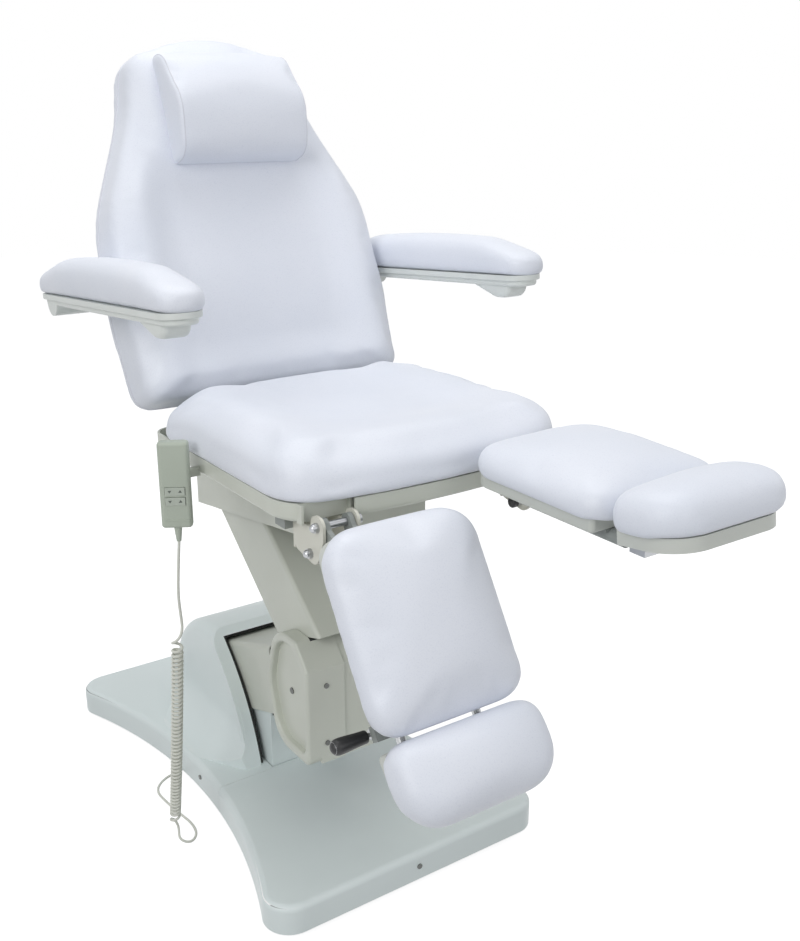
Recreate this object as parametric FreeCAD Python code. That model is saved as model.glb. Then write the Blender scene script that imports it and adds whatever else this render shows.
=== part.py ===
import FreeCAD, Part
import math
import os

# Electric treatment chair with a folding-arm lift, split leg rests and a corded handset.
# Millimetres, +Z up, the front of the chair towards -Y, the sitter's left towards +X.
# The origin is on the floor under the middle of the base.

V = FreeCAD.Vector

# Driving dimensions of the base
BASE_LENGTH = 960.0
BASE_WIDTH = 626.0
BASE_WAIST = 410.0
BASE_HEIGHT = 72.0
BASE_CORNER = 50.0
FOOT_HEIGHT = 17.0
SEAM_Y = -93.0

# Driving dimensions of the lift
PIVOT_Y = 75.0
PIVOT_Z = 215.0
LOWER_ARM = 330.0
LOWER_ANGLE = 19.3
ELBOW_SET = 18.0
ELBOW_RISE = 86.0
UPPER_ARM = 376.0
UPPER_ANGLE = 39.5
SHAFT_R = 14.0

# Driving dimensions of the seat and backrest
SEAT_RISE = 117.0
SEAT_WIDTH = 548.0
SEAT_DEPTH = 478.0
SEAT_BOW = 26.0
TRAY_HEIGHT = 30.0
SEAT_CUSHION = 71.0
BACK_LEAN = 22.0
BACK_HEIGHT = 659.0
BACK_WIDTH = 566.0
BACK_CUSHION = 92.0
BACK_SHELL = 16.0
PILLOW_WIDTH = 260.0
PILLOW_HEIGHT = 205.0
PILLOW_DEPTH = 84.0

# Driving dimensions of the arm and leg rests
ARM_LENGTH = 600.0
ARM_WIDTH = 80.0
ARM_SLOPE = 4.5
CALF_LENGTH = 294.0
FOOT_LENGTH = 124.0
LEG_WIDTH = 262.0
LEG_PAD = 46.0
CALF_TRAY = 20.0
FOLD_ANGLE = 58.0
FOOT_TILT = 8.0

# Driving dimensions of the handset and its cord
HANDSET_WIDTH = 50.0
HANDSET_HEIGHT = 145.0
HANDSET_DEPTH = 24.0
CORD_R = 2.5
COIL_R = 10.0

# Walls, fits and clearances
WALL = 4.0
RUN_FIT = 0.05
SIDE_GAP = 2.0
SEAM_GAP = 0.8

# Widths across the lift: knuckle plates inside, arm plates outside them, covers outside those
KNUCKLE_IN = 40.0
KNUCKLE_OUT = 60.0
ARM_IN = 66.0
ARM_OUT = 78.0
SHROUD_OUT = ARM_OUT + SIDE_GAP + WALL
LOWER_COVER_OUT = SHROUD_OUT + 3.0 + WALL
UPPER_COVER_OUT = LOWER_COVER_OUT + SIDE_GAP + WALL
CAP_IN = UPPER_COVER_OUT + 1.5
CAP_OUT = CAP_IN + 30.0
HOOD_IN = LOWER_COVER_OUT + 27.0
HOOD_OUT = HOOD_IN + WALL
ARM_R = 30.0
COVER_HALF = 68.0
TIE_X0 = 20.0
TIE_X1 = 36.0
TIE_R = 7.0
LOWER_TIE = 55.0
UPPER_TIE = 45.0


def sin(angle):
    return math.sin(math.radians(angle))


def cos(angle):
    return math.cos(math.radians(angle))


# Pivot points of the lift, as (y, z)
ELBOW_Y = PIVOT_Y - LOWER_ARM * cos(LOWER_ANGLE)
ELBOW_Z = PIVOT_Z + LOWER_ARM * sin(LOWER_ANGLE)
SHOULDER_Y = ELBOW_Y - ELBOW_SET
SHOULDER_Z = ELBOW_Z + ELBOW_RISE
TOP_Y = SHOULDER_Y + UPPER_ARM * cos(UPPER_ANGLE)
TOP_Z = SHOULDER_Z + UPPER_ARM * sin(UPPER_ANGLE)

# Levels of the seat, all taken from the top pivot of the lift
TRAY_Z = TOP_Z + SEAT_RISE
PAN_Z = TRAY_Z + TRAY_HEIGHT
SEAT_Z = PAN_Z + SEAT_CUSHION
SEAT_REAR = TOP_Y - 85.0
SEAT_FRONT = SEAT_REAR - SEAT_DEPTH - SEAT_BOW
HINGE_Y = SEAT_FRONT + 9.0
HINGE_Z = TRAY_Z + 2.0
LEG_TOP = SEAT_Z - HINGE_Z - 10.0
JOIN_Y = SEAT_REAR + 22.0
JOIN_Z = SEAT_Z - 2.0
BACK_DEPTH = BACK_CUSHION + BACK_SHELL
RECLINE_A = -50.0
RECLINE_D = BACK_CUSHION + 3.0
RECLINE_Y = JOIN_Y + RECLINE_A * sin(BACK_LEAN) + RECLINE_D * cos(BACK_LEAN)
RECLINE_Z = JOIN_Z + RECLINE_A * cos(BACK_LEAN) - RECLINE_D * sin(BACK_LEAN)
ARM_A = 207.0
ARM_D = BACK_DEPTH + 25.0
ARM_Y = JOIN_Y + ARM_A * sin(BACK_LEAN) + ARM_D * cos(BACK_LEAN)
ARM_Z = JOIN_Z + ARM_A * cos(BACK_LEAN) - ARM_D * sin(BACK_LEAN)
ARM_MID = BACK_WIDTH / 2 + 5.0 + ARM_WIDTH / 2


def block(x0, x1, y0, y1, z0, z1):
    return Part.makeBox(x1 - x0, y1 - y0, z1 - z0, V(x0, y0, z0))


def mirrored(shape):
    return shape.mirror(V(0, 0, 0), V(1, 0, 0))


def pair(shape):
    return shape.fuse(mirrored(shape))


def rod_x(y, z, radius, x0, x1):
    return Part.makeCylinder(radius, x1 - x0, V(x0, y, z), V(1, 0, 0))


def rod_y(x, z, radius, y0, y1):
    return Part.makeCylinder(radius, y1 - y0, V(x, y0, z), V(0, 1, 0))


def rod_z(x, y, radius, z0, z1):
    return Part.makeCylinder(radius, z1 - z0, V(x, y, z0), V(0, 0, 1))


def placed(shape, y, z, turn):
    """Turn a shape about X, then move its origin to (0, y, z)."""
    out = shape.copy()
    out.rotate(V(0, 0, 0), V(1, 0, 0), turn)
    out.translate(V(0, y, z))
    return out


def loop(corners, put):
    """Closed wire through corners (u, v, radius), each rounded by its own radius."""
    spans = []
    count = len(corners)
    for i in range(count):
        u, v, radius = corners[i]
        here = V(u, v, 0)
        if radius <= 0:
            spans.append((here, None, here))
            continue
        before = V(corners[i - 1][0], corners[i - 1][1], 0) - here
        after = V(corners[(i + 1) % count][0], corners[(i + 1) % count][1], 0) - here
        before.normalize()
        after.normalize()
        half = before.getAngle(after) / 2
        reach = radius / math.tan(half)
        inward = before + after
        inward.normalize()
        middle = here + inward * (radius / math.sin(half) - radius)
        spans.append((here + before * reach, middle, here + after * reach))
    edges = []
    for i in range(count):
        start, middle, end = spans[i]
        if middle is not None:
            points = [put(p.x, p.y) for p in (start, middle, end)]
            edges.append(Part.Arc(*points).toShape())
        following = spans[(i + 1) % count][0]
        if (following - end).Length > 1e-6:
            edges.append(Part.makeLine(put(end.x, end.y), put(following.x, following.y)))
    return Part.Wire(edges)


def plan(corners, z0, z1):
    """Upright prism from corners (x, y, radius)."""
    wire = loop(corners, lambda x, y: V(x, y, z0))
    return Part.Face(wire).extrude(V(0, 0, z1 - z0))


def side(corners, x0, x1):
    """Prism across X from corners (y, z, radius)."""
    wire = loop(corners, lambda y, z: V(x0, y, z))
    return Part.Face(wire).extrude(V(x1 - x0, 0, 0))


def front(corners, y0, y1):
    """Prism along Y from corners (x, z, radius)."""
    wire = loop(corners, lambda x, z: V(x, y0, z))
    return Part.Face(wire).extrude(V(0, y1 - y0, 0))


def edges_at(shape, axis, value):
    """Edges whose every point lies on one plane square to an axis."""
    found = []
    for edge in shape.Edges:
        box = edge.BoundBox
        low = (box.XMin, box.YMin, box.ZMin)[axis]
        high = (box.XMax, box.YMax, box.ZMax)[axis]
        if abs(low - value) < 1e-4 and abs(high - value) < 1e-4:
            found.append(edge)
    return found


def soft(shape, axis, low, high, low_r, high_r):
    """Round the rims of a cushion on its two broad faces."""
    shape = shape.makeFillet(high_r, edges_at(shape, axis, high))
    return shape.makeFillet(low_r, edges_at(shape, axis, low))


def save(shape, node):
    shape = shape.removeSplitter()
    shape.exportStep("parts/" + node + ".step")


os.makedirs("parts", exist_ok=True)


# Base frame, feet and covers

def base_block(inset, z0, z1):
    """Base outline with concave sides, drawn in by an inset."""
    half = BASE_LENGTH / 2 - inset
    wide = BASE_WIDTH / 2 - inset
    waist = BASE_WAIST / 2 - inset
    corners = [V(-wide, -half, z0), V(wide, -half, z0), V(wide, half, z0), V(-wide, half, z0)]
    edges = [
        Part.makeLine(corners[0], corners[1]),
        Part.Arc(corners[1], V(waist, 0, z0), corners[2]).toShape(),
        Part.makeLine(corners[2], corners[3]),
        Part.Arc(corners[3], V(-waist, 0, z0), corners[0]).toShape(),
    ]
    solid = Part.Face(Part.Wire(edges)).extrude(V(0, 0, z1 - z0))
    upright = []
    for edge in solid.Edges:
        box = edge.BoundBox
        if box.XLength < 1e-4 and box.YLength < 1e-4:
            upright.append(edge)
    return solid.makeFillet(BASE_CORNER - inset, upright)


FRAME_TOP = BASE_HEIGHT - WALL
RAIL_IN = 110.0
RAIL_OUT = 150.0
CROSS_Y = BASE_LENGTH / 2 - 60.0
CROSS_X = BASE_WIDTH / 2 - 55.0
FOOT_R = 25.0
SCREW_R = 2.5
SCREW_HEAD = 5.0
SCREW_Z = (FOOT_HEIGHT + BASE_HEIGHT) / 2
PLATE_TOP = FOOT_HEIGHT + 6.0
OPEN_Y0 = SEAM_Y + 4.0
OPEN_Y1 = PIVOT_Y + 90.0

frame = block(-RAIL_OUT, -RAIL_IN, -CROSS_Y, CROSS_Y, FOOT_HEIGHT, FRAME_TOP)
frame = pair(frame)
for y in (-CROSS_Y, CROSS_Y):
    frame = frame.fuse(block(-CROSS_X, CROSS_X, y - 25, y + 25, FOOT_HEIGHT, FRAME_TOP))
frame = frame.fuse(block(-RAIL_OUT, RAIL_OUT, SEAM_Y - 20, OPEN_Y1 + 50, FOOT_HEIGHT, PLATE_TOP))
tower = side([
    (PIVOT_Y - 40, FOOT_HEIGHT, 0), (PIVOT_Y + 55, FOOT_HEIGHT, 0),
    (PIVOT_Y + 34, PIVOT_Z + 34, 30), (PIVOT_Y - 34, PIVOT_Z + 34, 30),
], KNUCKLE_IN, KNUCKLE_OUT)
tower = tower.cut(rod_x(PIVOT_Y, PIVOT_Z, SHAFT_R + RUN_FIT, 0, 100))
frame = frame.fuse(pair(tower))
frame = frame.fuse(rod_x(PIVOT_Y, PIVOT_Z - LOWER_TIE, TIE_R, TIE_X0 - 4, KNUCKLE_IN))
save(frame, "base_frame")

feet = []
for x, y in ((0, 0), (-1, -1), (1, -1), (-1, 1), (1, 1)):
    feet.append(rod_z(x * (CROSS_X - 30), y * CROSS_Y, FOOT_R, 0, FOOT_HEIGHT))
save(Part.makeCompound(feet), "levelling_feet")

shell = base_block(0, FOOT_HEIGHT, BASE_HEIGHT)
shell = shell.makeFillet(12, edges_at(shell, 2, BASE_HEIGHT))
shell = shell.cut(base_block(WALL, FOOT_HEIGHT - 1, FRAME_TOP))
opening = block(-SHROUD_OUT - 2, SHROUD_OUT + 2, OPEN_Y0, OPEN_Y1, FRAME_TOP - 1, BASE_HEIGHT + 1)
shell = shell.cut(opening)
BASE_HALF = BASE_LENGTH / 2
shank_front = rod_y(0, SCREW_Z, SCREW_R, -BASE_HALF, BASE_HALF)
shank_side = rod_x(0, SCREW_Z, SCREW_R, -BASE_WAIST / 2, BASE_WAIST / 2)
shell = shell.cut(shank_front).cut(shank_side)
INLET_X = BASE_WIDTH / 4
INLET_W = 22.0
INLET_H = 13.0
shell = shell.cut(block(
    INLET_X - INLET_W - SEAM_GAP / 2, INLET_X + INLET_W + SEAM_GAP / 2, BASE_HALF - 2 * WALL, BASE_HALF + 1,
    SCREW_Z - INLET_H - SEAM_GAP / 2, SCREW_Z + INLET_H + SEAM_GAP / 2))
SPAN = BASE_LENGTH
save(shell.common(block(-SPAN, SPAN, -SPAN, SEAM_Y - SEAM_GAP / 2, 0, SPAN)), "base_cover_front")
save(shell.common(block(-SPAN, SPAN, SEAM_Y + SEAM_GAP / 2, SPAN, 0, SPAN)), "base_cover_rear")

screws = []
for sign in (-1, 1):
    end = sign * BASE_HALF
    head = rod_y(0, SCREW_Z, SCREW_HEAD, min(end, end + 2 * sign), max(end, end + 2 * sign))
    shank = rod_y(0, SCREW_Z, SCREW_R, min(end, end - 10 * sign), max(end, end - 10 * sign))
    screws.append(head.fuse(shank))
    end = sign * BASE_WAIST / 2
    head = rod_x(0, SCREW_Z, SCREW_HEAD, min(end, end + 2 * sign), max(end, end + 2 * sign))
    shank = rod_x(0, SCREW_Z, SCREW_R, min(end, end - 10 * sign), max(end, end - 10 * sign))
    screws.append(head.fuse(shank))
save(Part.makeCompound(screws), "cover_screws")

# Pedestal hood over the lower pivot, open to the front, with a flare onto the base

HOOD_FRONT = PIVOT_Y - 145.0
HOOD_TOP = PIVOT_Z + 92.0
HOOD_CROWN = PIVOT_Y + 20.0
HOOD_BACK = PIVOT_Y + 205.0
HOOD_ROUND = 26.0


def hood_block(inset, reach, half, z0, edge_r):
    """Hood side outline across X; reach moves the open front edge forward."""
    crest = HOOD_CROWN + 40.0
    tall = HOOD_TOP - BASE_HEIGHT
    deep = HOOD_BACK - crest
    bend = (deep ** 2 + tall ** 2) / (2 * tall)
    mid_z = HOOD_TOP - bend
    radius = bend - inset
    foot_angle = math.asin((z0 - mid_z) / radius)
    half_angle = (math.pi / 2 + foot_angle) / 2
    a = V(-half, HOOD_FRONT - reach, z0)
    b = V(-half, PIVOT_Y - 78 - reach, PIVOT_Z - 2)
    c = V(-half, HOOD_CROWN - reach, HOOD_TOP - inset)
    d = V(-half, crest, HOOD_TOP - inset)
    e = V(-half, crest + radius * math.cos(half_angle), mid_z + radius * math.sin(half_angle))
    f = V(-half, crest + radius * math.cos(foot_angle), z0)
    edges = [
        Part.Arc(a, b, c).toShape(), Part.makeLine(c, d),
        Part.Arc(d, e, f).toShape(), Part.makeLine(f, a),
    ]
    solid = Part.Face(Part.Wire(edges)).extrude(V(2 * half, 0, 0))
    if edge_r > 0:
        rims = [
            rim for rim in edges_at(solid, 0, half) + edges_at(solid, 0, -half)
            if rim.BoundBox.ZMax > HOOD_TOP - inset - 0.01 and rim.BoundBox.YMax > HOOD_CROWN + 1]
        solid = solid.makeFillet(edge_r, rims)
    return solid


flare_r = BASE_WAIST / 2 - 6 - HOOD_OUT
flare_top = BASE_HEIGHT + flare_r
curve = flare_r * (1 - cos(45))
flare_edges = [
    Part.makeLine(V(HOOD_OUT, HOOD_FRONT, flare_top), V(HOOD_IN, HOOD_FRONT, flare_top)),
    Part.makeLine(V(HOOD_IN, HOOD_FRONT, flare_top), V(HOOD_IN, HOOD_FRONT, BASE_HEIGHT)),
    Part.makeLine(V(HOOD_IN, HOOD_FRONT, BASE_HEIGHT), V(HOOD_OUT + flare_r, HOOD_FRONT, BASE_HEIGHT)),
    Part.Arc(
        V(HOOD_OUT + flare_r, HOOD_FRONT, BASE_HEIGHT),
        V(HOOD_OUT + curve, HOOD_FRONT, BASE_HEIGHT + curve),
        V(HOOD_OUT, HOOD_FRONT, flare_top)).toShape(),
]
flare = Part.Face(Part.Wire(flare_edges)).extrude(V(0, HOOD_BACK - HOOD_FRONT, 0))
foot_print = plan([
    (HOOD_IN - 5, HOOD_FRONT - 1, 0), (HOOD_OUT + 14, HOOD_FRONT - 1, 20),
    (HOOD_OUT + flare_r, PIVOT_Y - 40, 120), (HOOD_OUT + flare_r, PIVOT_Y + 130, 60),
    (HOOD_OUT + 10, HOOD_BACK - 5, 8), (HOOD_IN - 5, HOOD_BACK - 5, 0),
], BASE_HEIGHT - 1, flare_top + 1)
flare = flare.common(foot_print).common(hood_block(0, 0, BASE_WIDTH, BASE_HEIGHT, 0))
hood = hood_block(0, 0, HOOD_OUT, BASE_HEIGHT, HOOD_ROUND)
hood = hood.fuse(pair(flare))
hood = hood.cut(hood_block(WALL, 200, HOOD_IN, BASE_HEIGHT - 1, HOOD_ROUND - WALL))
SEAL_GAP = 3.0
SEAL_THICK = 7.0
SEAL_TOP = PIVOT_Z + COVER_HALF + 10.0
RIM_PROUD = 6.0
RIM_DEPTH = 18.0
RIM_IN = LOWER_COVER_OUT + SEAL_GAP + SEAL_THICK
RIM_TOP = SEAL_TOP + SEAL_THICK
rim_band = hood_block(-RIM_PROUD, 0, HOOD_OUT + RIM_PROUD, BASE_HEIGHT, HOOD_ROUND + RIM_PROUD)
rim_band = rim_band.cut(hood_block(-2 * RIM_PROUD, -RIM_DEPTH, BASE_WIDTH, BASE_HEIGHT - 1, 0))
mouth = block(-RIM_IN, RIM_IN, -SPAN, SPAN, 0, RIM_TOP)
hood = hood.fuse(rim_band.cut(mouth))
save(hood, "pedestal_hood")

band = hood_block(0, -6, RIM_IN, BASE_HEIGHT, 0)
band = band.cut(hood_block(-RIM_PROUD, -RIM_DEPTH, BASE_WIDTH, BASE_HEIGHT - 1, 0)).common(mouth)
band = band.cut(block(
    -LOWER_COVER_OUT - SEAL_GAP, LOWER_COVER_OUT + SEAL_GAP, -SPAN, SPAN, 0, SEAL_TOP))
save(band, "hood_seal")

SHROUD_Y0 = OPEN_Y0 + 2.0
SHROUD_Y1 = PIVOT_Y - 45.0
rise = (SHROUD_Y1 - SHROUD_Y0) * math.tan(math.radians(LOWER_ANGLE))
shroud = side([
    (SHROUD_Y0, PLATE_TOP, 0), (SHROUD_Y1, PLATE_TOP, 0),
    (SHROUD_Y1, PIVOT_Z - 30, 10), (SHROUD_Y0, PIVOT_Z - 24 + rise, 10),
], -SHROUD_OUT, SHROUD_OUT)
shroud_in = SHROUD_OUT - WALL
shroud = shroud.cut(block(-shroud_in, shroud_in, SHROUD_Y0 + WALL, SPAN, 0, SPAN))
shroud = shroud.cut(block(-shroud_in, shroud_in, -SPAN, SPAN, PIVOT_Z - 78, SPAN))
save(shroud, "lower_shroud")

inlet = block(
    INLET_X - INLET_W, INLET_X + INLET_W, BASE_HALF - 30, BASE_HALF - 1, SCREW_Z - INLET_H, SCREW_Z + INLET_H)
inlet = inlet.fuse(block(
    INLET_X - INLET_W - 5, INLET_X + INLET_W + 5, BASE_HALF - WALL - 4, BASE_HALF - WALL,
    SCREW_Z - INLET_H - 4, SCREW_Z + INLET_H + 4))
inlet = inlet.cut(block(
    INLET_X - INLET_W + 4, INLET_X + INLET_W - 4, BASE_HALF - 18, BASE_HALF,
    SCREW_Z - INLET_H + 4, SCREW_Z + INLET_H - 4))
for dx in (-9, 0, 9):
    inlet = inlet.fuse(block(
        INLET_X + dx - 1, INLET_X + dx + 1, BASE_HALF - 20, BASE_HALF - 6, SCREW_Z - 3, SCREW_Z + 3))
save(inlet, "mains_inlet")

MOTOR_X0 = -KNUCKLE_IN
MOTOR_X1 = TIE_X0 - 8.0
motor = block(MOTOR_X0, MOTOR_X1, PIVOT_Y - 32, PIVOT_Y + 60, PIVOT_Z - 60, PIVOT_Z + 30)
motor = motor.fuse(rod_y((MOTOR_X0 + MOTOR_X1) / 2, PIVOT_Z - 30, 30, PIVOT_Y + 50, PIVOT_Y + 150))
motor = motor.cut(rod_x(PIVOT_Y, PIVOT_Z, SHAFT_R + RUN_FIT, -SPAN, SPAN))
save(motor, "lift_gearmotor")

# Lower arm: two plates on the pivot shaft, a cross box, its cover and its tie rod


def arm_plates(length):
    """Two round-ended plates from the origin along +Y, bored for both shafts."""
    plates = []
    for x0, x1 in ((-ARM_OUT, -ARM_IN), (ARM_IN, ARM_OUT)):
        plate = block(x0, x1, 0, length, -ARM_R, ARM_R)
        plate = plate.fuse(rod_x(0, 0, ARM_R, x0, x1)).fuse(rod_x(length, 0, ARM_R, x0, x1))
        plates.append(plate.cut(rod_x(0, 0, SHAFT_R, x0, x1)).cut(rod_x(length, 0, SHAFT_R, x0, x1)))
    return plates[0].fuse(plates[1])


def tie_rod(dy, dz):
    """Round rod between two eyes, the first at the origin."""
    reach = math.hypot(dy, dz)
    eye = 13.0
    bar = rod_y((TIE_X0 + TIE_X1) / 2, 0, TIE_R, 0, reach)
    for y in (0, reach):
        bar = bar.fuse(rod_x(y, 0, eye, TIE_X0, TIE_X1))
    for y in (0, reach):
        bar = bar.cut(rod_x(y, 0, TIE_R + RUN_FIT, TIE_X0, TIE_X1))
    return bar


lower = arm_plates(LOWER_ARM).fuse(block(-ARM_IN, ARM_IN, 95, LOWER_ARM - 80, -ARM_R, ARM_R))
lower.rotate(V(0, 0, 0), V(0, 0, 1), 180)
save(placed(lower, PIVOT_Y, PIVOT_Z, -LOWER_ANGLE), "lower_arm")
save(rod_x(PIVOT_Y, PIVOT_Z, SHAFT_R, -ARM_OUT, ARM_OUT), "lift_pivot_shaft")

lower_tie = tie_rod(ELBOW_Y - PIVOT_Y, ELBOW_Z - PIVOT_Z)
lower_tie = placed(lower_tie, 0, 0, 180 - LOWER_ANGLE)
lower_tie.translate(V(0, PIVOT_Y, PIVOT_Z - LOWER_TIE))
save(lower_tie, "lower_tie_rod")

COVER_FRONT = LOWER_ARM - 120.0
COVER_REAR = 45.0
RIB_T = LOWER_ARM - 140.0
top = COVER_HALF + 1.0
cover = block(-LOWER_COVER_OUT, LOWER_COVER_OUT, -COVER_FRONT, COVER_REAR, -top, top)
cover = cover.makeFillet(10, [e for e in cover.Edges if e.BoundBox.ZMin > top - 1 and e.BoundBox.XLength < 1])
inside = LOWER_COVER_OUT - WALL
cover = cover.cut(block(-inside, inside, -SPAN, SPAN, -SPAN, top - WALL))
for x0, x1 in ((-inside, -ARM_OUT), (ARM_OUT, inside)):
    cover = cover.fuse(block(x0, x1, -RIB_T - 10, -RIB_T, -20, 20))
cheek = side([
    (-COVER_FRONT - 55, -top, 16), (1 - COVER_FRONT, -top, 0), (1 - COVER_FRONT, 30, 0),
    (-COVER_FRONT - 55, 10, 16),
], inside, LOWER_COVER_OUT)
cover = cover.fuse(pair(cheek))
save(placed(cover, PIVOT_Y, PIVOT_Z, -LOWER_ANGLE), "lower_arm_cover")

# Elbow: block with two geared shafts, side caps, front panel and screws

GEAR_TEETH = 16
PITCH_R = math.hypot(ELBOW_SET, ELBOW_RISE) / 2
MODULE = 2 * PITCH_R / GEAR_TEETH
GEAR_HALF = 8.0
TOOTH = 0.4 * math.pi * MODULE
LEAN = math.degrees(math.atan2(ELBOW_SET, ELBOW_RISE))


def gear_shaft(phase, teeth):
    """Shaft across X with a toothed sector pointing up from its axis."""
    root = PITCH_R - 1.15 * MODULE
    tip = PITCH_R + 0.85 * MODULE
    slope = math.tan(math.radians(20))
    shaft = rod_x(0, 0, SHAFT_R, -ARM_OUT, ARM_OUT).fuse(rod_x(0, 0, SHAFT_R + 9, -GEAR_HALF, GEAR_HALF))
    reach = (teeth / 2 + 0.1) * 360.0 / GEAR_TEETH
    fan = Part.makeCylinder(root, 2 * GEAR_HALF, V(-GEAR_HALF, 0, 0), V(1, 0, 0), 2 * reach)
    start = fan.CenterOfMass
    fan.rotate(V(0, 0, 0), V(1, 0, 0), 90 - math.degrees(math.atan2(start.z, start.y)))
    shaft = shaft.fuse(fan)
    for i in range(teeth):
        turn = phase + (i - (teeth - 1) / 2) * 360.0 / GEAR_TEETH
        half = TOOTH / 2
        low = half + (PITCH_R - root) * slope
        high = half - (tip - PITCH_R) * slope
        tooth = side([
            (-low, root - 2, 0), (low, root - 2, 0), (low, root, 0), (high, tip, 0),
            (-high, tip, 0), (-low, root, 0),
        ], -GEAR_HALF, GEAR_HALF)
        tooth.rotate(V(0, 0, 0), V(1, 0, 0), turn)
        shaft = shaft.fuse(tooth)
    return shaft


save(placed(gear_shaft(0, 3), ELBOW_Y, ELBOW_Z, LEAN), "elbow_lower_shaft")
save(placed(gear_shaft(0, 4), SHOULDER_Y, SHOULDER_Z, 180 + LEAN), "elbow_upper_shaft")

ELBOW_FRONT = ELBOW_Y - 79.0
ELBOW_REAR = ELBOW_Y + 78.0
ELBOW_BASE = ELBOW_Z - 118.0
ELBOW_TOP = ELBOW_Z + 118.0
FLANGE = 7.0
DISH = 14.0
PLATE_Y = ELBOW_FRONT + FLANGE
FLANGE_IN = CAP_OUT - 78.0
BEVEL_Z = ELBOW_TOP - 46.0
BEVEL_RUN = 40.0
WRAP = 0.9
PLATE_HIGH = BEVEL_Z - 16.0

knuckle = side([
    (PLATE_Y, ELBOW_BASE + 14, 0), (ELBOW_Y + 34, ELBOW_BASE + 24, 30),
    (ELBOW_Y + 34, SHOULDER_Z + 20, 30), (SHOULDER_Y - 20, SHOULDER_Z + 20, 8), (PLATE_Y, PLATE_HIGH, 0),
], KNUCKLE_IN, KNUCKLE_OUT)
for y, z in ((ELBOW_Y, ELBOW_Z), (SHOULDER_Y, SHOULDER_Z)):
    knuckle = knuckle.cut(rod_x(y, z, SHAFT_R + RUN_FIT, 0, SPAN))
elbow = pair(knuckle)
elbow = elbow.fuse(block(2 - CAP_IN, CAP_IN - 2, PLATE_Y, PLATE_Y + 9, ELBOW_BASE + 14, PLATE_HIGH))
elbow = elbow.fuse(block(-CAP_IN - 11, CAP_IN + 11, PLATE_Y, PLATE_Y + 9, ELBOW_BASE + 14, ELBOW_TOP - 70))
elbow = elbow.fuse(rod_x(ELBOW_Y, ELBOW_Z - LOWER_TIE, TIE_R, TIE_X0 - 4, KNUCKLE_IN))
elbow = elbow.fuse(rod_x(SHOULDER_Y, SHOULDER_Z - UPPER_TIE, TIE_R, TIE_X0 - 4, KNUCKLE_IN))
save(elbow, "elbow_block")

cap_line = [
    (ELBOW_FRONT, ELBOW_BASE, 14), (ELBOW_FRONT, BEVEL_Z, 10), (ELBOW_FRONT + BEVEL_RUN, ELBOW_TOP, 12),
    (ELBOW_Y + 40, ELBOW_TOP, 62), (ELBOW_REAR, ELBOW_Z, 90), (ELBOW_Y + 40, ELBOW_BASE, 62),
]
cap = side(cap_line, CAP_IN, CAP_OUT)
cap = cap.makeFillet(6, edges_at(cap, 0, CAP_OUT))
hollow = side([
    (PLATE_Y, ELBOW_BASE + WALL, 0), (PLATE_Y, ELBOW_TOP - 52, 0), (ELBOW_FRONT + 44, ELBOW_TOP - WALL, 8),
    (ELBOW_Y + 37, ELBOW_TOP - WALL, 58), (ELBOW_REAR - WALL, ELBOW_Z, 86),
    (ELBOW_Y + 37, ELBOW_BASE + WALL, 58),
], CAP_IN - 1, CAP_OUT - WALL - DISH)
cap = cap.cut(hollow)
dish = side([
    (ELBOW_FRONT + 15, ELBOW_BASE + 17, 18), (ELBOW_FRONT + 15, BEVEL_Z - 12, 24),
    (ELBOW_FRONT + 15 + BEVEL_RUN, ELBOW_TOP - 17, 24), (ELBOW_Y + 33, ELBOW_TOP - 17, 54),
    (ELBOW_REAR - 15, ELBOW_Z, 80), (ELBOW_Y + 33, ELBOW_BASE + 17, 54),
], CAP_OUT - DISH, CAP_OUT + 1)
cap = cap.cut(dish)
cap = cap.makeFillet(6, [
    e for e in edges_at(cap, 0, CAP_OUT)
    if e.BoundBox.YMin > ELBOW_FRONT + 14 and e.BoundBox.YMax < ELBOW_REAR - 14])
cap = cap.fuse(block(FLANGE_IN, CAP_IN + 2, ELBOW_FRONT, PLATE_Y, ELBOW_BASE, BEVEL_Z))
wrap_y = ELBOW_FRONT + WRAP * BEVEL_RUN
wrap_z = BEVEL_Z + WRAP * (ELBOW_TOP - BEVEL_Z)
cap = cap.fuse(side([
    (ELBOW_FRONT, BEVEL_Z, 0), (wrap_y, wrap_z, 0), (wrap_y + 3, wrap_z - 3, 0), (PLATE_Y, BEVEL_Z - 4, 0),
], FLANGE_IN, CAP_IN + 2))
save(cap, "elbow_cap_left")
save(mirrored(cap), "elbow_cap_right")

panel = side([
    (PLATE_Y - 3, ELBOW_BASE + 14, 0), (PLATE_Y - 3, BEVEL_Z - 1, 0), (wrap_y + 3, wrap_z - 1, 0),
    (wrap_y + 6, wrap_z - 4, 0), (PLATE_Y, BEVEL_Z - 4, 0), (PLATE_Y, ELBOW_BASE + 14, 0),
], -FLANGE_IN, FLANGE_IN)
panel = panel.fuse(block(-FLANGE_IN, FLANGE_IN, PLATE_Y - 6, PLATE_Y + 3, ELBOW_BASE + 2, ELBOW_BASE + 14))
save(panel, "elbow_front_panel")

heads = []
SCREW_TIP = CAP_OUT - DISH
for sign in (-1, 1):
    for z in (ELBOW_BASE + 40, ELBOW_TOP - 80):
        heads.append(rod_y(sign * (CAP_OUT - 40), z, SCREW_HEAD, ELBOW_FRONT - 2, ELBOW_FRONT))
    tip = sign * SCREW_TIP
    heads.append(rod_x(ELBOW_Y, ELBOW_Z, SCREW_HEAD + 1, min(tip, tip + 2 * sign), max(tip, tip + 2 * sign)))
save(Part.makeCompound(heads), "elbow_screws")

# Upper arm: two plates, a cross box, its cover and its tie rod

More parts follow.
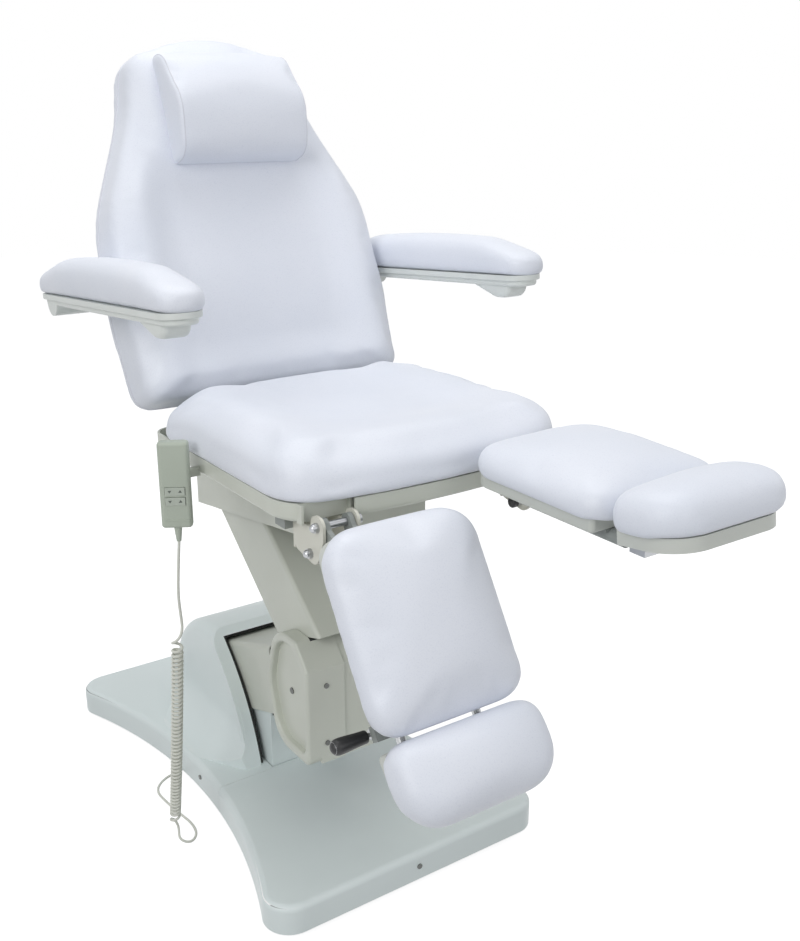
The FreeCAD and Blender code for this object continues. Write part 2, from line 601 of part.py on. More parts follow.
upper = arm_plates(UPPER_ARM).fuse(block(-ARM_IN, ARM_IN, 85, UPPER_ARM - 95, -14, ARM_R + 8))
save(placed(upper, SHOULDER_Y, SHOULDER_Z, UPPER_ANGLE), "upper_arm")
save(rod_x(TOP_Y, TOP_Z, SHAFT_R, -ARM_OUT, ARM_OUT), "seat_pivot_shaft")

upper_tie = tie_rod(TOP_Y - SHOULDER_Y, TOP_Z - SHOULDER_Z)
save(placed(upper_tie, SHOULDER_Y, SHOULDER_Z - UPPER_TIE, UPPER_ANGLE), "upper_tie_rod")

casing = side([
    (-14, COVER_HALF, 0), (74, -COVER_HALF, 0), (UPPER_ARM + 34, -COVER_HALF, 20),
    (UPPER_ARM + 34, -4, 12), (UPPER_ARM - 62, COVER_HALF, 0),
], -UPPER_COVER_OUT, UPPER_COVER_OUT)
casing = casing.makeFillet(8, [
    e for e in casing.Edges
    if e.BoundBox.ZLength < 1e-4 and e.BoundBox.YLength > 100 and e.BoundBox.ZMax > COVER_HALF - 1])
inside = UPPER_COVER_OUT - WALL
casing = casing.cut(block(-inside, inside, -SPAN, SPAN, -COVER_HALF + WALL, COVER_HALF - WALL))
for x0, x1 in ((-inside, -ARM_OUT), (ARM_OUT, inside)):
    casing = casing.fuse(block(x0, x1, UPPER_ARM / 2, UPPER_ARM / 2 + 20, -20, 20))
save(placed(casing, SHOULDER_Y, SHOULDER_Z, UPPER_ANGLE), "upper_arm_cover")

# Seat frame, tub, tray and cushion

RAIL_X0 = 125.0
RAIL_X1 = 155.0
RAIL_Z = TRAY_Z - 20.0
RAIL_Y1 = RECLINE_Y - 30.0
FRONT_BAR = SEAT_FRONT + 80.0
EAR_W = 8.0
EAR_R = 18.0
RECLINE_R = 9.0
BRACKET_OUT = SEAT_WIDTH / 2 - 42.0
BRACKET_IN = BRACKET_OUT - 64.0
BRACKET_W = 5.0

seat = pair(block(RAIL_X0, RAIL_X1, FRONT_BAR, RAIL_Y1, RAIL_Z, TRAY_Z))
seat = seat.fuse(block(-BRACKET_OUT - 14, BRACKET_OUT + 14, FRONT_BAR, FRONT_BAR + 30, RAIL_Z, TRAY_Z))
seat = seat.fuse(block(-RAIL_X1, RAIL_X1, RAIL_Y1 - 30, RAIL_Y1, RAIL_Z, TRAY_Z))
seat = seat.fuse(block(-RAIL_X1, RAIL_X1, TOP_Y - 92, RAIL_Y1, TRAY_Z - 12, TRAY_Z))
fork = side([
    (TOP_Y - 84, TRAY_Z, 0), (TOP_Y - 32, TOP_Z - UPPER_TIE - 16, 30),
    (TOP_Y + 32, TOP_Z - UPPER_TIE - 16, 30), (TOP_Y + 32, TOP_Z + 30, 24), (RAIL_Y1, TRAY_Z, 0),
], KNUCKLE_IN, KNUCKLE_OUT)
fork = fork.cut(rod_x(TOP_Y, TOP_Z, SHAFT_R + RUN_FIT, 0, SPAN))
seat = seat.fuse(pair(fork))
seat = seat.fuse(rod_x(TOP_Y, TOP_Z - UPPER_TIE, TIE_R, TIE_X0 - 4, KNUCKLE_IN))
ear = side([
    (RAIL_Y1 - 60, RAIL_Z, 0), (RAIL_Y1, RAIL_Z, 0), (RECLINE_Y + EAR_R, RECLINE_Z - EAR_R, 14),
    (RECLINE_Y + EAR_R, RECLINE_Z + EAR_R, 16), (RECLINE_Y - EAR_R, RECLINE_Z + EAR_R, 16),
    (RECLINE_Y - EAR_R - 6, TRAY_Z, 0), (RAIL_Y1 - 60, TRAY_Z, 0),
], RAIL_X1, RAIL_X1 + EAR_W)
ear = ear.cut(rod_x(RECLINE_Y, RECLINE_Z, RECLINE_R + RUN_FIT, 0, SPAN))
seat = seat.fuse(pair(ear))
save(seat, "seat_frame")

TUB_OUT = RAIL_X0 - 4.0
TUB_LIP = RAIL_X1 + EAR_W + 3.0 + WALL
TUB_FRONT = SEAT_FRONT + 230.0
TUB_REAR = TOP_Y + 82.0
TUB_BACK = RAIL_Y1 - 66.0


def tub_block(inset, y0, y1):
    """Tub section across X: wide under the tray, narrow around the arm."""
    lip = TUB_LIP - inset
    low = TUB_OUT - inset
    return front([
        (-lip, TRAY_Z, 0), (-lip, RAIL_Z - 4 + inset / 2, 0), (-low, RAIL_Z - 48, 0), (-low, TOP_Z - 120, 0),
        (low, TOP_Z - 120, 0), (low, RAIL_Z - 48, 0), (lip, RAIL_Z - 4 + inset / 2, 0), (lip, TRAY_Z, 0),
    ], y0, y1)


tub = tub_block(0, TUB_FRONT, TUB_REAR).cut(tub_block(WALL, TUB_FRONT + WALL, TUB_REAR - WALL))
skew = side([
    (TUB_FRONT - 1, TRAY_Z - 112, 0), (TUB_REAR + 1, TRAY_Z - 178, 0),
    (TUB_REAR + 1, TRAY_Z - 400, 0), (TUB_FRONT - 1, TRAY_Z - 400, 0),
], -SPAN, SPAN)
tub = tub.cut(skew)
tub = tub.cut(block(-SPAN, SPAN, TUB_BACK, SPAN, RAIL_Z - 1, SPAN))
rail_way = block(RAIL_X0 - 1, RAIL_X1 + 1, TUB_FRONT - 1, TUB_FRONT + WALL + 1, RAIL_Z - 1, SPAN)
tub = tub.cut(pair(rail_way))
save(tub, "seat_tub")


def seat_plan(inset, rear, z0, z1, corner, rear_corner):
    """Seat outline with a bowed front edge and rounded corners."""
    wide = SEAT_WIDTH / 2 - inset
    back = SEAT_REAR + rear
    edge = SEAT_FRONT + SEAT_BOW + inset
    middle = V(0, SEAT_FRONT + inset, z0)
    edges = [
        Part.makeLine(V(wide, edge, z0), V(wide, back, z0)),
        Part.makeLine(V(wide, back, z0), V(-wide, back, z0)),
        Part.makeLine(V(-wide, back, z0), V(-wide, edge, z0)),
        Part.Arc(V(-wide, edge, z0), middle, V(wide, edge, z0)).toShape(),
    ]
    solid = Part.Face(Part.Wire(edges)).extrude(V(0, 0, z1 - z0))
    ahead = []
    for e in solid.Edges:
        box = e.BoundBox
        if box.XLength < 1e-4 and box.YLength < 1e-4 and box.YMax < back - 10:
            ahead.append(e)
    solid = solid.makeFillet(corner, ahead)
    behind = [e for e in edges_at(solid, 1, back) if e.BoundBox.XLength < 1e-4]
    return solid.makeFillet(rear_corner, behind)


NOTCH_IN = BRACKET_IN - 8.0
NOTCH_OUT = BRACKET_OUT + 8.0
TRAY_INSET = 10.0
tray = seat_plan(TRAY_INSET, 28, TRAY_Z, PAN_Z, 70, 34)
tray = tray.makeFillet(8, edges_at(tray, 2, TRAY_Z))
tray = tray.cut(seat_plan(TRAY_INSET + WALL, 28 - WALL, TRAY_Z + WALL, PAN_Z + 1, 66, 30))
NOTCH_Y = HINGE_Y + 34.0
tray = tray.fuse(block(NOTCH_IN - WALL, NOTCH_OUT + WALL, NOTCH_Y - 10, NOTCH_Y + WALL, TRAY_Z, PAN_Z))
tray = tray.fuse(block(-NOTCH_OUT - WALL, WALL - NOTCH_IN, NOTCH_Y - 10, NOTCH_Y + WALL, TRAY_Z, PAN_Z))
tray = tray.cut(block(NOTCH_IN, NOTCH_OUT, -SPAN, NOTCH_Y, 0, SPAN * 2))
tray = tray.cut(block(-NOTCH_OUT, -NOTCH_IN, -SPAN, NOTCH_Y, 0, SPAN * 2))

HANDSET_X = -SEAT_WIDTH / 2 - 39.0
HANDSET_Y = SEAT_REAR - 182.0
HANDSET_Z = TRAY_Z - 4.0
HANDSET_YAW = -30.0


def held(shape):
    """Turn a handset piece to its hanging pose beside the seat."""
    out = shape.copy()
    out.rotate(V(0, 0, 0), V(0, 0, 1), HANDSET_YAW)
    out.translate(V(HANDSET_X, HANDSET_Y, HANDSET_Z))
    return out


hook = held(block(-14, 14, HANDSET_DEPTH / 2, HANDSET_DEPTH / 2 + 6, 2, 16))
hook_y = HANDSET_Y + HANDSET_DEPTH / 2 * cos(HANDSET_YAW)
hook_x = HANDSET_X - HANDSET_DEPTH / 2 * sin(HANDSET_YAW) + 1.0
hook = hook.fuse(block(
    hook_x, 1 - SEAT_WIDTH / 2 + TRAY_INSET, hook_y + 1, hook_y + 12, HANDSET_Z + 2, HANDSET_Z + 16))
hook = hook.cut(held(block(-60, 60, -60, HANDSET_DEPTH / 2, -60, 60)))
save(tray.fuse(hook), "seat_tray")

cushion = seat_plan(0, 0, PAN_Z, SEAT_Z, 82, 70)
cushion = soft(cushion, 2, PAN_Z, SEAT_Z, 10, 34)
save(cushion, "seat_cushion")

# Leg brackets and hinge bolts

BOLT_R = 6.0
NUT_R = 7.5
LOCK_Y = HINGE_Y + 20.0
LOCK_Z = HINGE_Z - 46.0


def leg_bracket():
    """Two upright plates with a back plate against the front bar."""
    plate = side([
        (HINGE_Y - 16, HINGE_Z - 18, 14), (HINGE_Y - 16, HINGE_Z + 16, 14),
        (HINGE_Y + 16, HINGE_Z + 16, 14), (HINGE_Y + 20, TRAY_Z - 3, 0), (FRONT_BAR, TRAY_Z - 3, 0),
        (FRONT_BAR, LOCK_Z - 4, 18), (HINGE_Y + 4, LOCK_Z - 18, 18),
    ], 0, BRACKET_W)
    plate = plate.cut(rod_x(HINGE_Y, HINGE_Z, BOLT_R, -1, BRACKET_W + 1))
    plate = plate.cut(rod_x(LOCK_Y, LOCK_Z, BOLT_R, -1, BRACKET_W + 1))
    inner = plate.copy()
    inner.translate(V(BRACKET_IN, 0, 0))
    outer = plate.copy()
    outer.translate(V(BRACKET_OUT - BRACKET_W, 0, 0))
    back = block(BRACKET_IN, BRACKET_OUT, FRONT_BAR - 5, FRONT_BAR, RAIL_Z - 30, TRAY_Z - 3)
    return inner.fuse(outer).fuse(back)


bracket = leg_bracket()
save(bracket, "leg_bracket_left")
save(mirrored(bracket), "leg_bracket_right")

bolts = []
for y, z in ((HINGE_Y, HINGE_Z), (LOCK_Y, LOCK_Z)):
    bolt = rod_x(y, z, BOLT_R, BRACKET_IN - 4, BRACKET_OUT)
    bolt = bolt.fuse(rod_x(y, z, NUT_R, BRACKET_OUT, BRACKET_OUT + 6))
    bolt = bolt.fuse(Part.makeSphere(NUT_R - 1, V(BRACKET_OUT + 6, y, z)))
    bolt = bolt.fuse(rod_x(y, z, NUT_R, BRACKET_IN - 9, BRACKET_IN))
    bolts.append(bolt)
    bolts.append(mirrored(bolt))
save(Part.makeCompound(bolts), "leg_hinge_bolts")

# Recline gear motor, on the pivot tube that is welded to the backrest frame

DRIVE_X0 = KNUCKLE_OUT + 4.0
DRIVE_X1 = RAIL_X0 - 3.0
drive = rod_x(RECLINE_Y, RECLINE_Z, 21, DRIVE_X0, DRIVE_X1)
drive = drive.fuse(block(DRIVE_X0, DRIVE_X1, RAIL_Y1, RECLINE_Y, RAIL_Z - 4, RECLINE_Z))
drive = drive.cut(rod_x(RECLINE_Y, RECLINE_Z, RECLINE_R + RUN_FIT, 0, 200))
save(drive, "recline_gearmotor")

# Backrest, built upright with its face on the XZ plane and leaned back as a whole

HALF = BACK_WIDTH / 2
BACK_LOW = -24.0
BACK_DROP = 38.0
BACK_CROWN = 300.0


def back_plan(inset, d0, d1):
    """Backrest outline, widest at the arms and narrowing to a rounded top."""
    right = [
        (HALF * 0.96 - inset, BACK_LOW + inset, 30), (HALF - inset, BACK_HEIGHT * 0.21, 400),
        (HALF * 0.97 - inset, BACK_HEIGHT * 0.49, 260), (HALF * 0.68 - inset, BACK_HEIGHT * 0.77, 260),
        (HALF * 0.6 - inset, BACK_HEIGHT - BACK_DROP - inset, 62 - inset),
    ]
    left = [(-x, z, r) for x, z, r in reversed(right)]
    crown = [(0, BACK_HEIGHT + BACK_DROP * 0.42 - inset, BACK_CROWN - inset)]
    return front(right + crown + left, d0, d1)


def leaned(shape):
    return placed(shape, JOIN_Y, JOIN_Z, -BACK_LEAN)


pad = back_plan(0, 0, BACK_CUSHION)
pad = soft(pad, 1, BACK_CUSHION, 0, 10, 26)
save(leaned(pad), "backrest_cushion")

rear = back_plan(12, BACK_CUSHION, BACK_DEPTH)
rear = rear.makeFillet(8, edges_at(rear, 1, BACK_DEPTH))
save(leaned(rear), "backrest_shell")

EAR_X0 = RAIL_X1 - 2.0 - EAR_W
back_ear = side([
    (RECLINE_D - EAR_R, RECLINE_A - EAR_R, 16), (RECLINE_D + EAR_R, RECLINE_A - EAR_R, 16),
    (BACK_DEPTH + 26, BACK_LOW, 20), (ARM_D + 16, ARM_A - 20, 8), (ARM_D + 16, ARM_A + 20, 8),
    (BACK_DEPTH, ARM_A + 20, 0),
    (BACK_DEPTH, BACK_LOW - 2, 0), (RECLINE_D - EAR_R, BACK_LOW - 8, 6),
], EAR_X0, EAR_X0 + EAR_W)
back_ear = back_ear.cut(rod_x(RECLINE_D, RECLINE_A, RECLINE_R, 0, SPAN))
back_frame = pair(back_ear)
for a in (BACK_HEIGHT * 0.1, ARM_A - 40):
    back_frame = back_frame.fuse(block(-EAR_X0, EAR_X0, BACK_DEPTH, BACK_DEPTH + 8, a, a + 40))
STUB_R = 10.0
reach = rod_x(ARM_D, ARM_A, STUB_R, EAR_X0, ARM_MID + 14)
back_frame = back_frame.fuse(pair(reach))
back_frame = back_frame.fuse(rod_x(RECLINE_D, RECLINE_A, RECLINE_R, -RAIL_X1 - EAR_W, RAIL_X1 + EAR_W))
save(leaned(back_frame), "backrest_frame")

PILLOW_A = BACK_HEIGHT - 52.0 - PILLOW_HEIGHT
pillow = side([
    (-1, PILLOW_A, 6), (-1, PILLOW_A + PILLOW_HEIGHT, 6),
    (-PILLOW_DEPTH * 0.55, PILLOW_A + PILLOW_HEIGHT * 0.96, 50),
    (-PILLOW_DEPTH * 1.08, PILLOW_A + PILLOW_HEIGHT * 0.45, 70), (-PILLOW_DEPTH * 0.72, PILLOW_A, 40),
], -PILLOW_WIDTH / 2, PILLOW_WIDTH / 2)
pillow = pillow.makeFillet(8, edges_at(pillow, 0, PILLOW_WIDTH / 2) + edges_at(pillow, 0, -PILLOW_WIDTH / 2))
save(leaned(pillow), "pillow")

# Armrests, built level about their pivot and sloped up to the front

ARM_REAR = 62.0
TRAY_HALF = ARM_WIDTH / 2 - 4.0
TRAY_STEP = 6.0
ARM_TRAY_Z0 = -8.0
ARM_TRAY_Z1 = 12.0
ARM_PAD = 54.0
KNOB_DEEP = 22.0


def arm_plan(half, y0, y1, z0, z1):
    x0 = ARM_MID - half
    x1 = ARM_MID + half
    return plan([(x0, y0, half - 2), (x1, y0, half - 2), (x1, y1, half - 2), (x0, y1, half - 2)], z0, z1)


for sign, name in ((1, "left"), (-1, "right")):
    lower = arm_plan(
        TRAY_HALF - TRAY_STEP, ARM_REAR - ARM_LENGTH + 14, ARM_REAR - 10, ARM_TRAY_Z0, ARM_TRAY_Z1 - 2)
    lower = lower.makeFillet(5, edges_at(lower, 2, ARM_TRAY_Z0))
    holder = arm_plan(
        TRAY_HALF, ARM_REAR - ARM_LENGTH + 8, ARM_REAR - 4, (ARM_TRAY_Z0 + ARM_TRAY_Z1) / 2, ARM_TRAY_Z1)
    holder = holder.makeFillet(2, edges_at(holder, 2, (ARM_TRAY_Z0 + ARM_TRAY_Z1) / 2)).fuse(lower)
    bulge = rod_x(0, 0, 27, ARM_MID - TRAY_HALF + 2, ARM_MID + TRAY_HALF - 6)
    holder = holder.fuse(bulge.common(block(-SPAN, SPAN, -SPAN, SPAN, -SPAN, ARM_TRAY_Z1)))
    knob_y = ARM_REAR - ARM_LENGTH + 44
    knob = side([
        (knob_y, ARM_TRAY_Z0 + 3, 0), (knob_y + 8, ARM_TRAY_Z0 - KNOB_DEEP, 22),
        (knob_y + 44, ARM_TRAY_Z0 - KNOB_DEEP, 40), (knob_y + 118, ARM_TRAY_Z0 + 3, 0),
    ], ARM_MID - 24, ARM_MID + 24)
    knob = knob.makeFillet(9, [
        e for e in edges_at(knob, 0, ARM_MID - 24) + edges_at(knob, 0, ARM_MID + 24)
        if e.BoundBox.ZMin < ARM_TRAY_Z0 + 2])
    holder = holder.fuse(knob)
    holder = holder.cut(rod_x(0, 0, STUB_R + RUN_FIT, 0, ARM_MID + 14.5))
    arm_pad = arm_plan(ARM_WIDTH / 2, ARM_REAR - ARM_LENGTH, ARM_REAR, ARM_TRAY_Z1, ARM_TRAY_Z1 + ARM_PAD)
    arm_pad = soft(arm_pad, 2, ARM_TRAY_Z1, ARM_TRAY_Z1 + ARM_PAD, 14, 25)
    if sign < 0:
        holder = mirrored(holder)
        arm_pad = mirrored(arm_pad)
    save(placed(holder, ARM_Y, ARM_Z, -ARM_SLOPE), "arm_tray_" + name)
    save(placed(arm_pad, ARM_Y, ARM_Z, -ARM_SLOPE), "arm_pad_" + name)

# Leg rests, built level about their hinge; the right one hangs folded down

LEG_GAP = 14.0
LEG_X0 = LEG_GAP
LEG_X1 = LEG_GAP + LEG_WIDTH
PAD_A = 19.0
PAD_Z0 = LEG_TOP - LEG_PAD
CALF_TRAY_Z0 = PAD_Z0 - CALF_TRAY
LEG_INSET = 17.0
SLIDE_R = 7.0
SLEEVE_R = 11.0
SLIDE_Z = CALF_TRAY_Z0 - SLEEVE_R
SLIDE_X = (LEG_X0 + 62.0, LEG_X1 - 66.0)
SLEEVE_A = 110.0
LEVER_A = PAD_A + CALF_LENGTH - 13.0
SLEEVE_END = LEVER_A + 9.0
FOOT_A = PAD_A + CALF_LENGTH + 10.0
LEVER_X = SLIDE_X[1] + 28.0
LEVER_Z = SLIDE_Z - 16.0
LEVER_END = LEG_X1 + 30.0


def leg_plan(x0, x1, a0, a1, rear_r, front_r, z0, z1):
    return plan([(x0, -a0, rear_r), (x1, -a0, rear_r), (x1, -a1, front_r), (x0, -a1, front_r)], z0, z1)


def tilted(shape):
    """Tip a foot-rest piece up at the front about its rear edge."""
    out = shape.copy()
    out.rotate(V(0, -FOOT_A, CALF_TRAY_Z0), V(1, 0, 0), -FOOT_TILT)
    return out


calf_frame = None
for x0 in (BRACKET_IN + BRACKET_W + 2, BRACKET_OUT - BRACKET_W - 10):
    lug = side([
        (12, -12, 11), (12, 12, 11), (-10, 12, 4), (-PAD_A - 9, CALF_TRAY_Z0, 0),
        (-PAD_A - 110, CALF_TRAY_Z0, 0), (-PAD_A - 110, CALF_TRAY_Z0 - 20, 0), (-20, -12, 10),
    ], x0, x0 + 8)
    lug = lug.cut(rod_x(0, 0, BOLT_R + RUN_FIT, 0, SPAN))
    calf_frame = lug if calf_frame is None else calf_frame.fuse(lug)
for a in (PAD_A + 70, PAD_A + CALF_LENGTH - 60):
    calf_frame = calf_frame.fuse(block(
        SLIDE_X[0] - 16, LEG_X1 - 22, -a - 30, -a, CALF_TRAY_Z0 - 5, CALF_TRAY_Z0))
for x in SLIDE_X:
    calf_frame = calf_frame.fuse(rod_y(x, SLIDE_Z, SLEEVE_R, -SLEEVE_END, -SLEEVE_A + 20))
calf_frame = calf_frame.fuse(block(
    SLIDE_X[1], LEVER_X + 11, -LEVER_A - 11, -LEVER_A + 11, SLIDE_Z - 8, SLIDE_Z + 6))
for x in SLIDE_X:
    calf_frame = calf_frame.cut(rod_y(x, SLIDE_Z, SLIDE_R + RUN_FIT, -LEVER_A - 12, -SLEEVE_A + 21))
calf_frame = calf_frame.cut(rod_z(LEVER_X, -LEVER_A, 4 + RUN_FIT, SLIDE_Z - 10, SLIDE_Z + 8))

calf_tray = leg_plan(
    LEG_X0 + LEG_INSET, LEG_X1 - LEG_INSET, PAD_A + 7, PAD_A + CALF_LENGTH - 28, 30, 8, CALF_TRAY_Z0, PAD_Z0)
calf_tray = calf_tray.makeFillet(4, edges_at(calf_tray, 2, CALF_TRAY_Z0))
calf_pad = leg_plan(LEG_X0, LEG_X1, PAD_A, PAD_A + CALF_LENGTH, 58, 44, PAD_Z0, LEG_TOP)
calf_pad = soft(calf_pad, 2, PAD_Z0, LEG_TOP, 14, 28)

TRAVEL_END = FOOT_A + 32.0
slider = None
for x in SLIDE_X:
    bar = rod_y(x, SLIDE_Z, SLIDE_R, -TRAVEL_END, -SLEEVE_A - 10)
    slider = bar if slider is None else slider.fuse(bar)
slider = slider.fuse(block(
    SLIDE_X[0] - 14, SLIDE_X[1] + 14, -TRAVEL_END, -FOOT_A - 4, SLIDE_Z - SLIDE_R, CALF_TRAY_Z0 - 5))
slider = slider.fuse(tilted(block(
    SLIDE_X[0] - 14, SLIDE_X[1] + 14, -TRAVEL_END, -FOOT_A - 4, CALF_TRAY_Z0 - 12, CALF_TRAY_Z0)))

foot_tray = tilted(leg_plan(
    LEG_X0 + LEG_INSET, LEG_X1 - LEG_INSET, FOOT_A + 6, FOOT_A + FOOT_LENGTH - 8, 8, 56,
    CALF_TRAY_Z0, PAD_Z0))
FOOT_TOP = LEG_TOP + 8.0
foot_pad = leg_plan(LEG_X0, LEG_X1, FOOT_A, FOOT_A + FOOT_LENGTH, 34, 62, PAD_Z0, FOOT_TOP)
foot_pad = tilted(soft(foot_pad, 2, PAD_Z0, FOOT_TOP, 14, 30))

lever = rod_z(LEVER_X, -LEVER_A, 4, LEVER_Z - 2, SLIDE_Z + 5)
lever = lever.fuse(rod_z(LEVER_X, -LEVER_A, 9, LEVER_Z - 7, LEVER_Z + 7))
lever = lever.fuse(rod_x(-LEVER_A, LEVER_Z, 4, LEVER_X, LEVER_END - 10))
lever = lever.fuse(rod_x(-LEVER_A, LEVER_Z, 9, LEVER_END - 52, LEVER_END))

for node, shape in (
        ("calf_frame", calf_frame), ("calf_tray", calf_tray), ("calf_pad", calf_pad),
        ("foot_slider", slider), ("foot_tray", foot_tray), ("foot_pad", foot_pad), ("clamp_lever", lever)):
    save(placed(shape, HINGE_Y, HINGE_Z, 0), node + "_left")
    save(placed(mirrored(shape), HINGE_Y, HINGE_Z, FOLD_ANGLE), node + "_right")

# Handset with two rocker keys

KEY_W = 32.0
KEY_H = 13.0
KEY_Y = -HANDSET_DEPTH / 2 + 3.0
KEY_PITCH = 17.0
KEY_LOW = -HANDSET_HEIGHT / 2 + 47.0
PIN_R = 1.2
KEY_GAP = 0.6
KEY_WALL = KEY_PITCH - KEY_H - 2 * KEY_GAP
PIN_OUT = KEY_GAP + 0.36 * KEY_WALL
BORE_OUT = KEY_GAP + 0.43 * KEY_WALL
HW = HANDSET_WIDTH / 2
HD = HANDSET_DEPTH / 2
HH = HANDSET_HEIGHT / 2

body = plan([(-HW, -HD, 7), (HW, -HD, 7), (HW, HD, 9), (-HW, HD, 9)], -HH, HH)
body = body.makeFillet(5, edges_at(body, 2, HH) + edges_at(body, 2, -HH))
for i, node in ((0, "handset_key_back"), (1, "handset_key_lift")):
    z0 = KEY_LOW + i * KEY_PITCH - KEY_H / 2
    z1 = z0 + KEY_H
    body = body.cut(block(
        -KEY_W / 2 - KEY_GAP, KEY_W / 2 + KEY_GAP, -HD - 1, -HD + 7, z0 - KEY_GAP, z1 + KEY_GAP))
    body = body.cut(rod_z(0, KEY_Y, PIN_R + RUN_FIT, z0 - BORE_OUT, z1 + BORE_OUT))
    key = plan([
        (-KEY_W / 2, KEY_Y - 1, 0), (-KEY_W / 2, -HD - 2.5, 1), (0, -HD - 1.5, 0), (KEY_W / 2, -HD - 2.5, 1),
        (KEY_W / 2, KEY_Y - 1, 0), (0, KEY_Y + 2, 0),
    ], z0, z1)
    key = key.fuse(rod_z(0, KEY_Y, PIN_R, z0 - PIN_OUT, z1 + PIN_OUT))
    save(held(key), node)
RELIEF = 26.0
RIB_Z = 13.0 - HH
body = body.fuse(block(4 - HW, HW - 4, -HD - 1, 1 - HD, RIB_Z, RIB_Z + 2))
body = body.fuse(Part.makeCone(7, 4, RELIEF + 1, V(0, 0, 1 - HH), V(0, 0, -1)))
save(held(body), "handset_body")


# Handset cord: straight lead, coil as one fat tube, and a loop on the floor that ends under the base

def tube(points, radius):
    """Round tube along straight runs joined by tangent arcs."""
    spots = [V(*p) for p in points]
    edges = []
    start = spots[0]
    for i in range(1, len(spots) - 1):
        back = spots[i - 1] - spots[i]
        ahead = spots[i + 1] - spots[i]
        shorter = min(back.Length, ahead.Length)
        back.normalize()
        ahead.normalize()
        half_turn = (math.pi - back.getAngle(ahead)) / 2
        cut = 0.45 * shorter
        bend = cut / math.tan(half_turn)
        print("bend radius %.1f" % bend)
        inward = back + ahead
        inward.normalize()
        near = spots[i] + back * cut
        far = spots[i] + ahead * cut
        centre = math.hypot(cut, bend)
        middle = spots[i] + inward * (centre - bend)
        edges.append(Part.makeLine(start, near))
        edges.append(Part.Arc(near, middle, far).toShape())
        start = far
    edges.append(Part.makeLine(start, spots[-1]))
    path = Part.Wire(edges)
    ring = Part.Wire([Part.makeCircle(radius, spots[0], spots[1] - spots[0])])
    swept = path.makePipeShell([ring], True, False)
    print("tube volume %.0f, section times length %.0f" % (swept.Volume, math.pi * radius ** 2 * path.Length))
    return swept


LEAD = 150.0
cord_x = HANDSET_X
cord_y = HANDSET_Y
cord_z = HANDSET_Z - HH - RELIEF
coil_z = cord_z - LEAD
lead = tube([
    (cord_x, cord_y, cord_z), (cord_x - 4, cord_y + 2, cord_z - LEAD * 0.33),
    (cord_x - 6, cord_y + 6, cord_z - LEAD * 0.68), (cord_x - 10, cord_y + 8, coil_z),
], CORD_R)
FLOOR_Z = CORD_R + 1.0
coil_end = V(cord_x + 2, cord_y + 120, FLOOR_Z + 24)
coil = tube([
    (cord_x - 10, cord_y + 8, coil_z), (cord_x - 14, cord_y + 29, coil_z * 0.55 + 10),
    (coil_end.x, coil_end.y, coil_end.z),
], COIL_R)
WAY_Y = coil_end.y + 208.0
SKIRT_X = BASE_WAIST / 2 + (BASE_WIDTH - BASE_WAIST) / 2 * (WAY_Y / BASE_HALF) ** 2
tail = tube([
    (coil_end.x, coil_end.y, coil_end.z), (coil_end.x + 3, coil_end.y - 12, coil_end.z - 15),
    (coil_end.x + 22, coil_end.y - 22, FLOOR_Z), (coil_end.x + 44, coil_end.y - 4, FLOOR_Z),
    (coil_end.x + 50, coil_end.y + 34, FLOOR_Z), (coil_end.x + 42, coil_end.y + 80, FLOOR_Z),
    (coil_end.x + 36, coil_end.y + 132, FLOOR_Z), (coil_end.x + 34, coil_end.y + 176, FLOOR_Z),
    (coil_end.x + 64, WAY_Y, FLOOR_Z), (-SKIRT_X + 10, WAY_Y + 8, FLOOR_Z),
    (-SKIRT_X + 34, WAY_Y + 10, FLOOR_Z + 18), (-RAIL_OUT - 1, WAY_Y + 10, FLOOR_Z + 26),
], CORD_R)
save(Part.makeCompound([lead, tail]), "handset_cord")
save(coil, "handset_coil")
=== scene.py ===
import math
import bmesh
import bpy
import numpy as np
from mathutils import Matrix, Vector


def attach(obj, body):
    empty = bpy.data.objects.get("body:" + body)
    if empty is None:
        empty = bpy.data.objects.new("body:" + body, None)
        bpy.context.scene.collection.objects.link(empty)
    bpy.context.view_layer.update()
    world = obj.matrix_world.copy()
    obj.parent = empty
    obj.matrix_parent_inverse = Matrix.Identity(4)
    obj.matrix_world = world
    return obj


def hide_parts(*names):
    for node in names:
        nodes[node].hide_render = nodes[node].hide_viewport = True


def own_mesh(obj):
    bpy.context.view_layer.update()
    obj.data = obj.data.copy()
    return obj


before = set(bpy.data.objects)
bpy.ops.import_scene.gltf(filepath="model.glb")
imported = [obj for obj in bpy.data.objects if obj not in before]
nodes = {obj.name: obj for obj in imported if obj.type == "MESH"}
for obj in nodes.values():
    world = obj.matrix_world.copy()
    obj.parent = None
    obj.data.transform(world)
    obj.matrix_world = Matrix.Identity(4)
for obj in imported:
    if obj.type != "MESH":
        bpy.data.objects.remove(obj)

for startup in ("Cube", "Light", "Camera"):
    if startup in bpy.data.objects:
        bpy.data.objects.remove(bpy.data.objects[startup])
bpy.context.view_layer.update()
scene = bpy.context.scene
scene.view_settings.view_transform = "Standard"


# Studio: a pale floor that keeps the chair's soft shadow, a white surround,
# and large soft lamps to the right, above, in front and to the left. The
# camera stands in front of the chair's right corner and looks a little down.

def tone(*rgb):
    """Linear colour of a tone written from 0 to 255."""
    parts = [c / 255 for c in rgb]
    linear = [c / 12.92 if c <= 0.04045 else ((c + 0.055) / 1.055) ** 2.4 for c in parts]
    return (*linear, 1.0)


def feed(tree, value, place):
    """Sets an input socket to a number, or links another socket to it."""
    if isinstance(value, float):
        place.default_value = value
    else:
        tree.links.new(value, place)


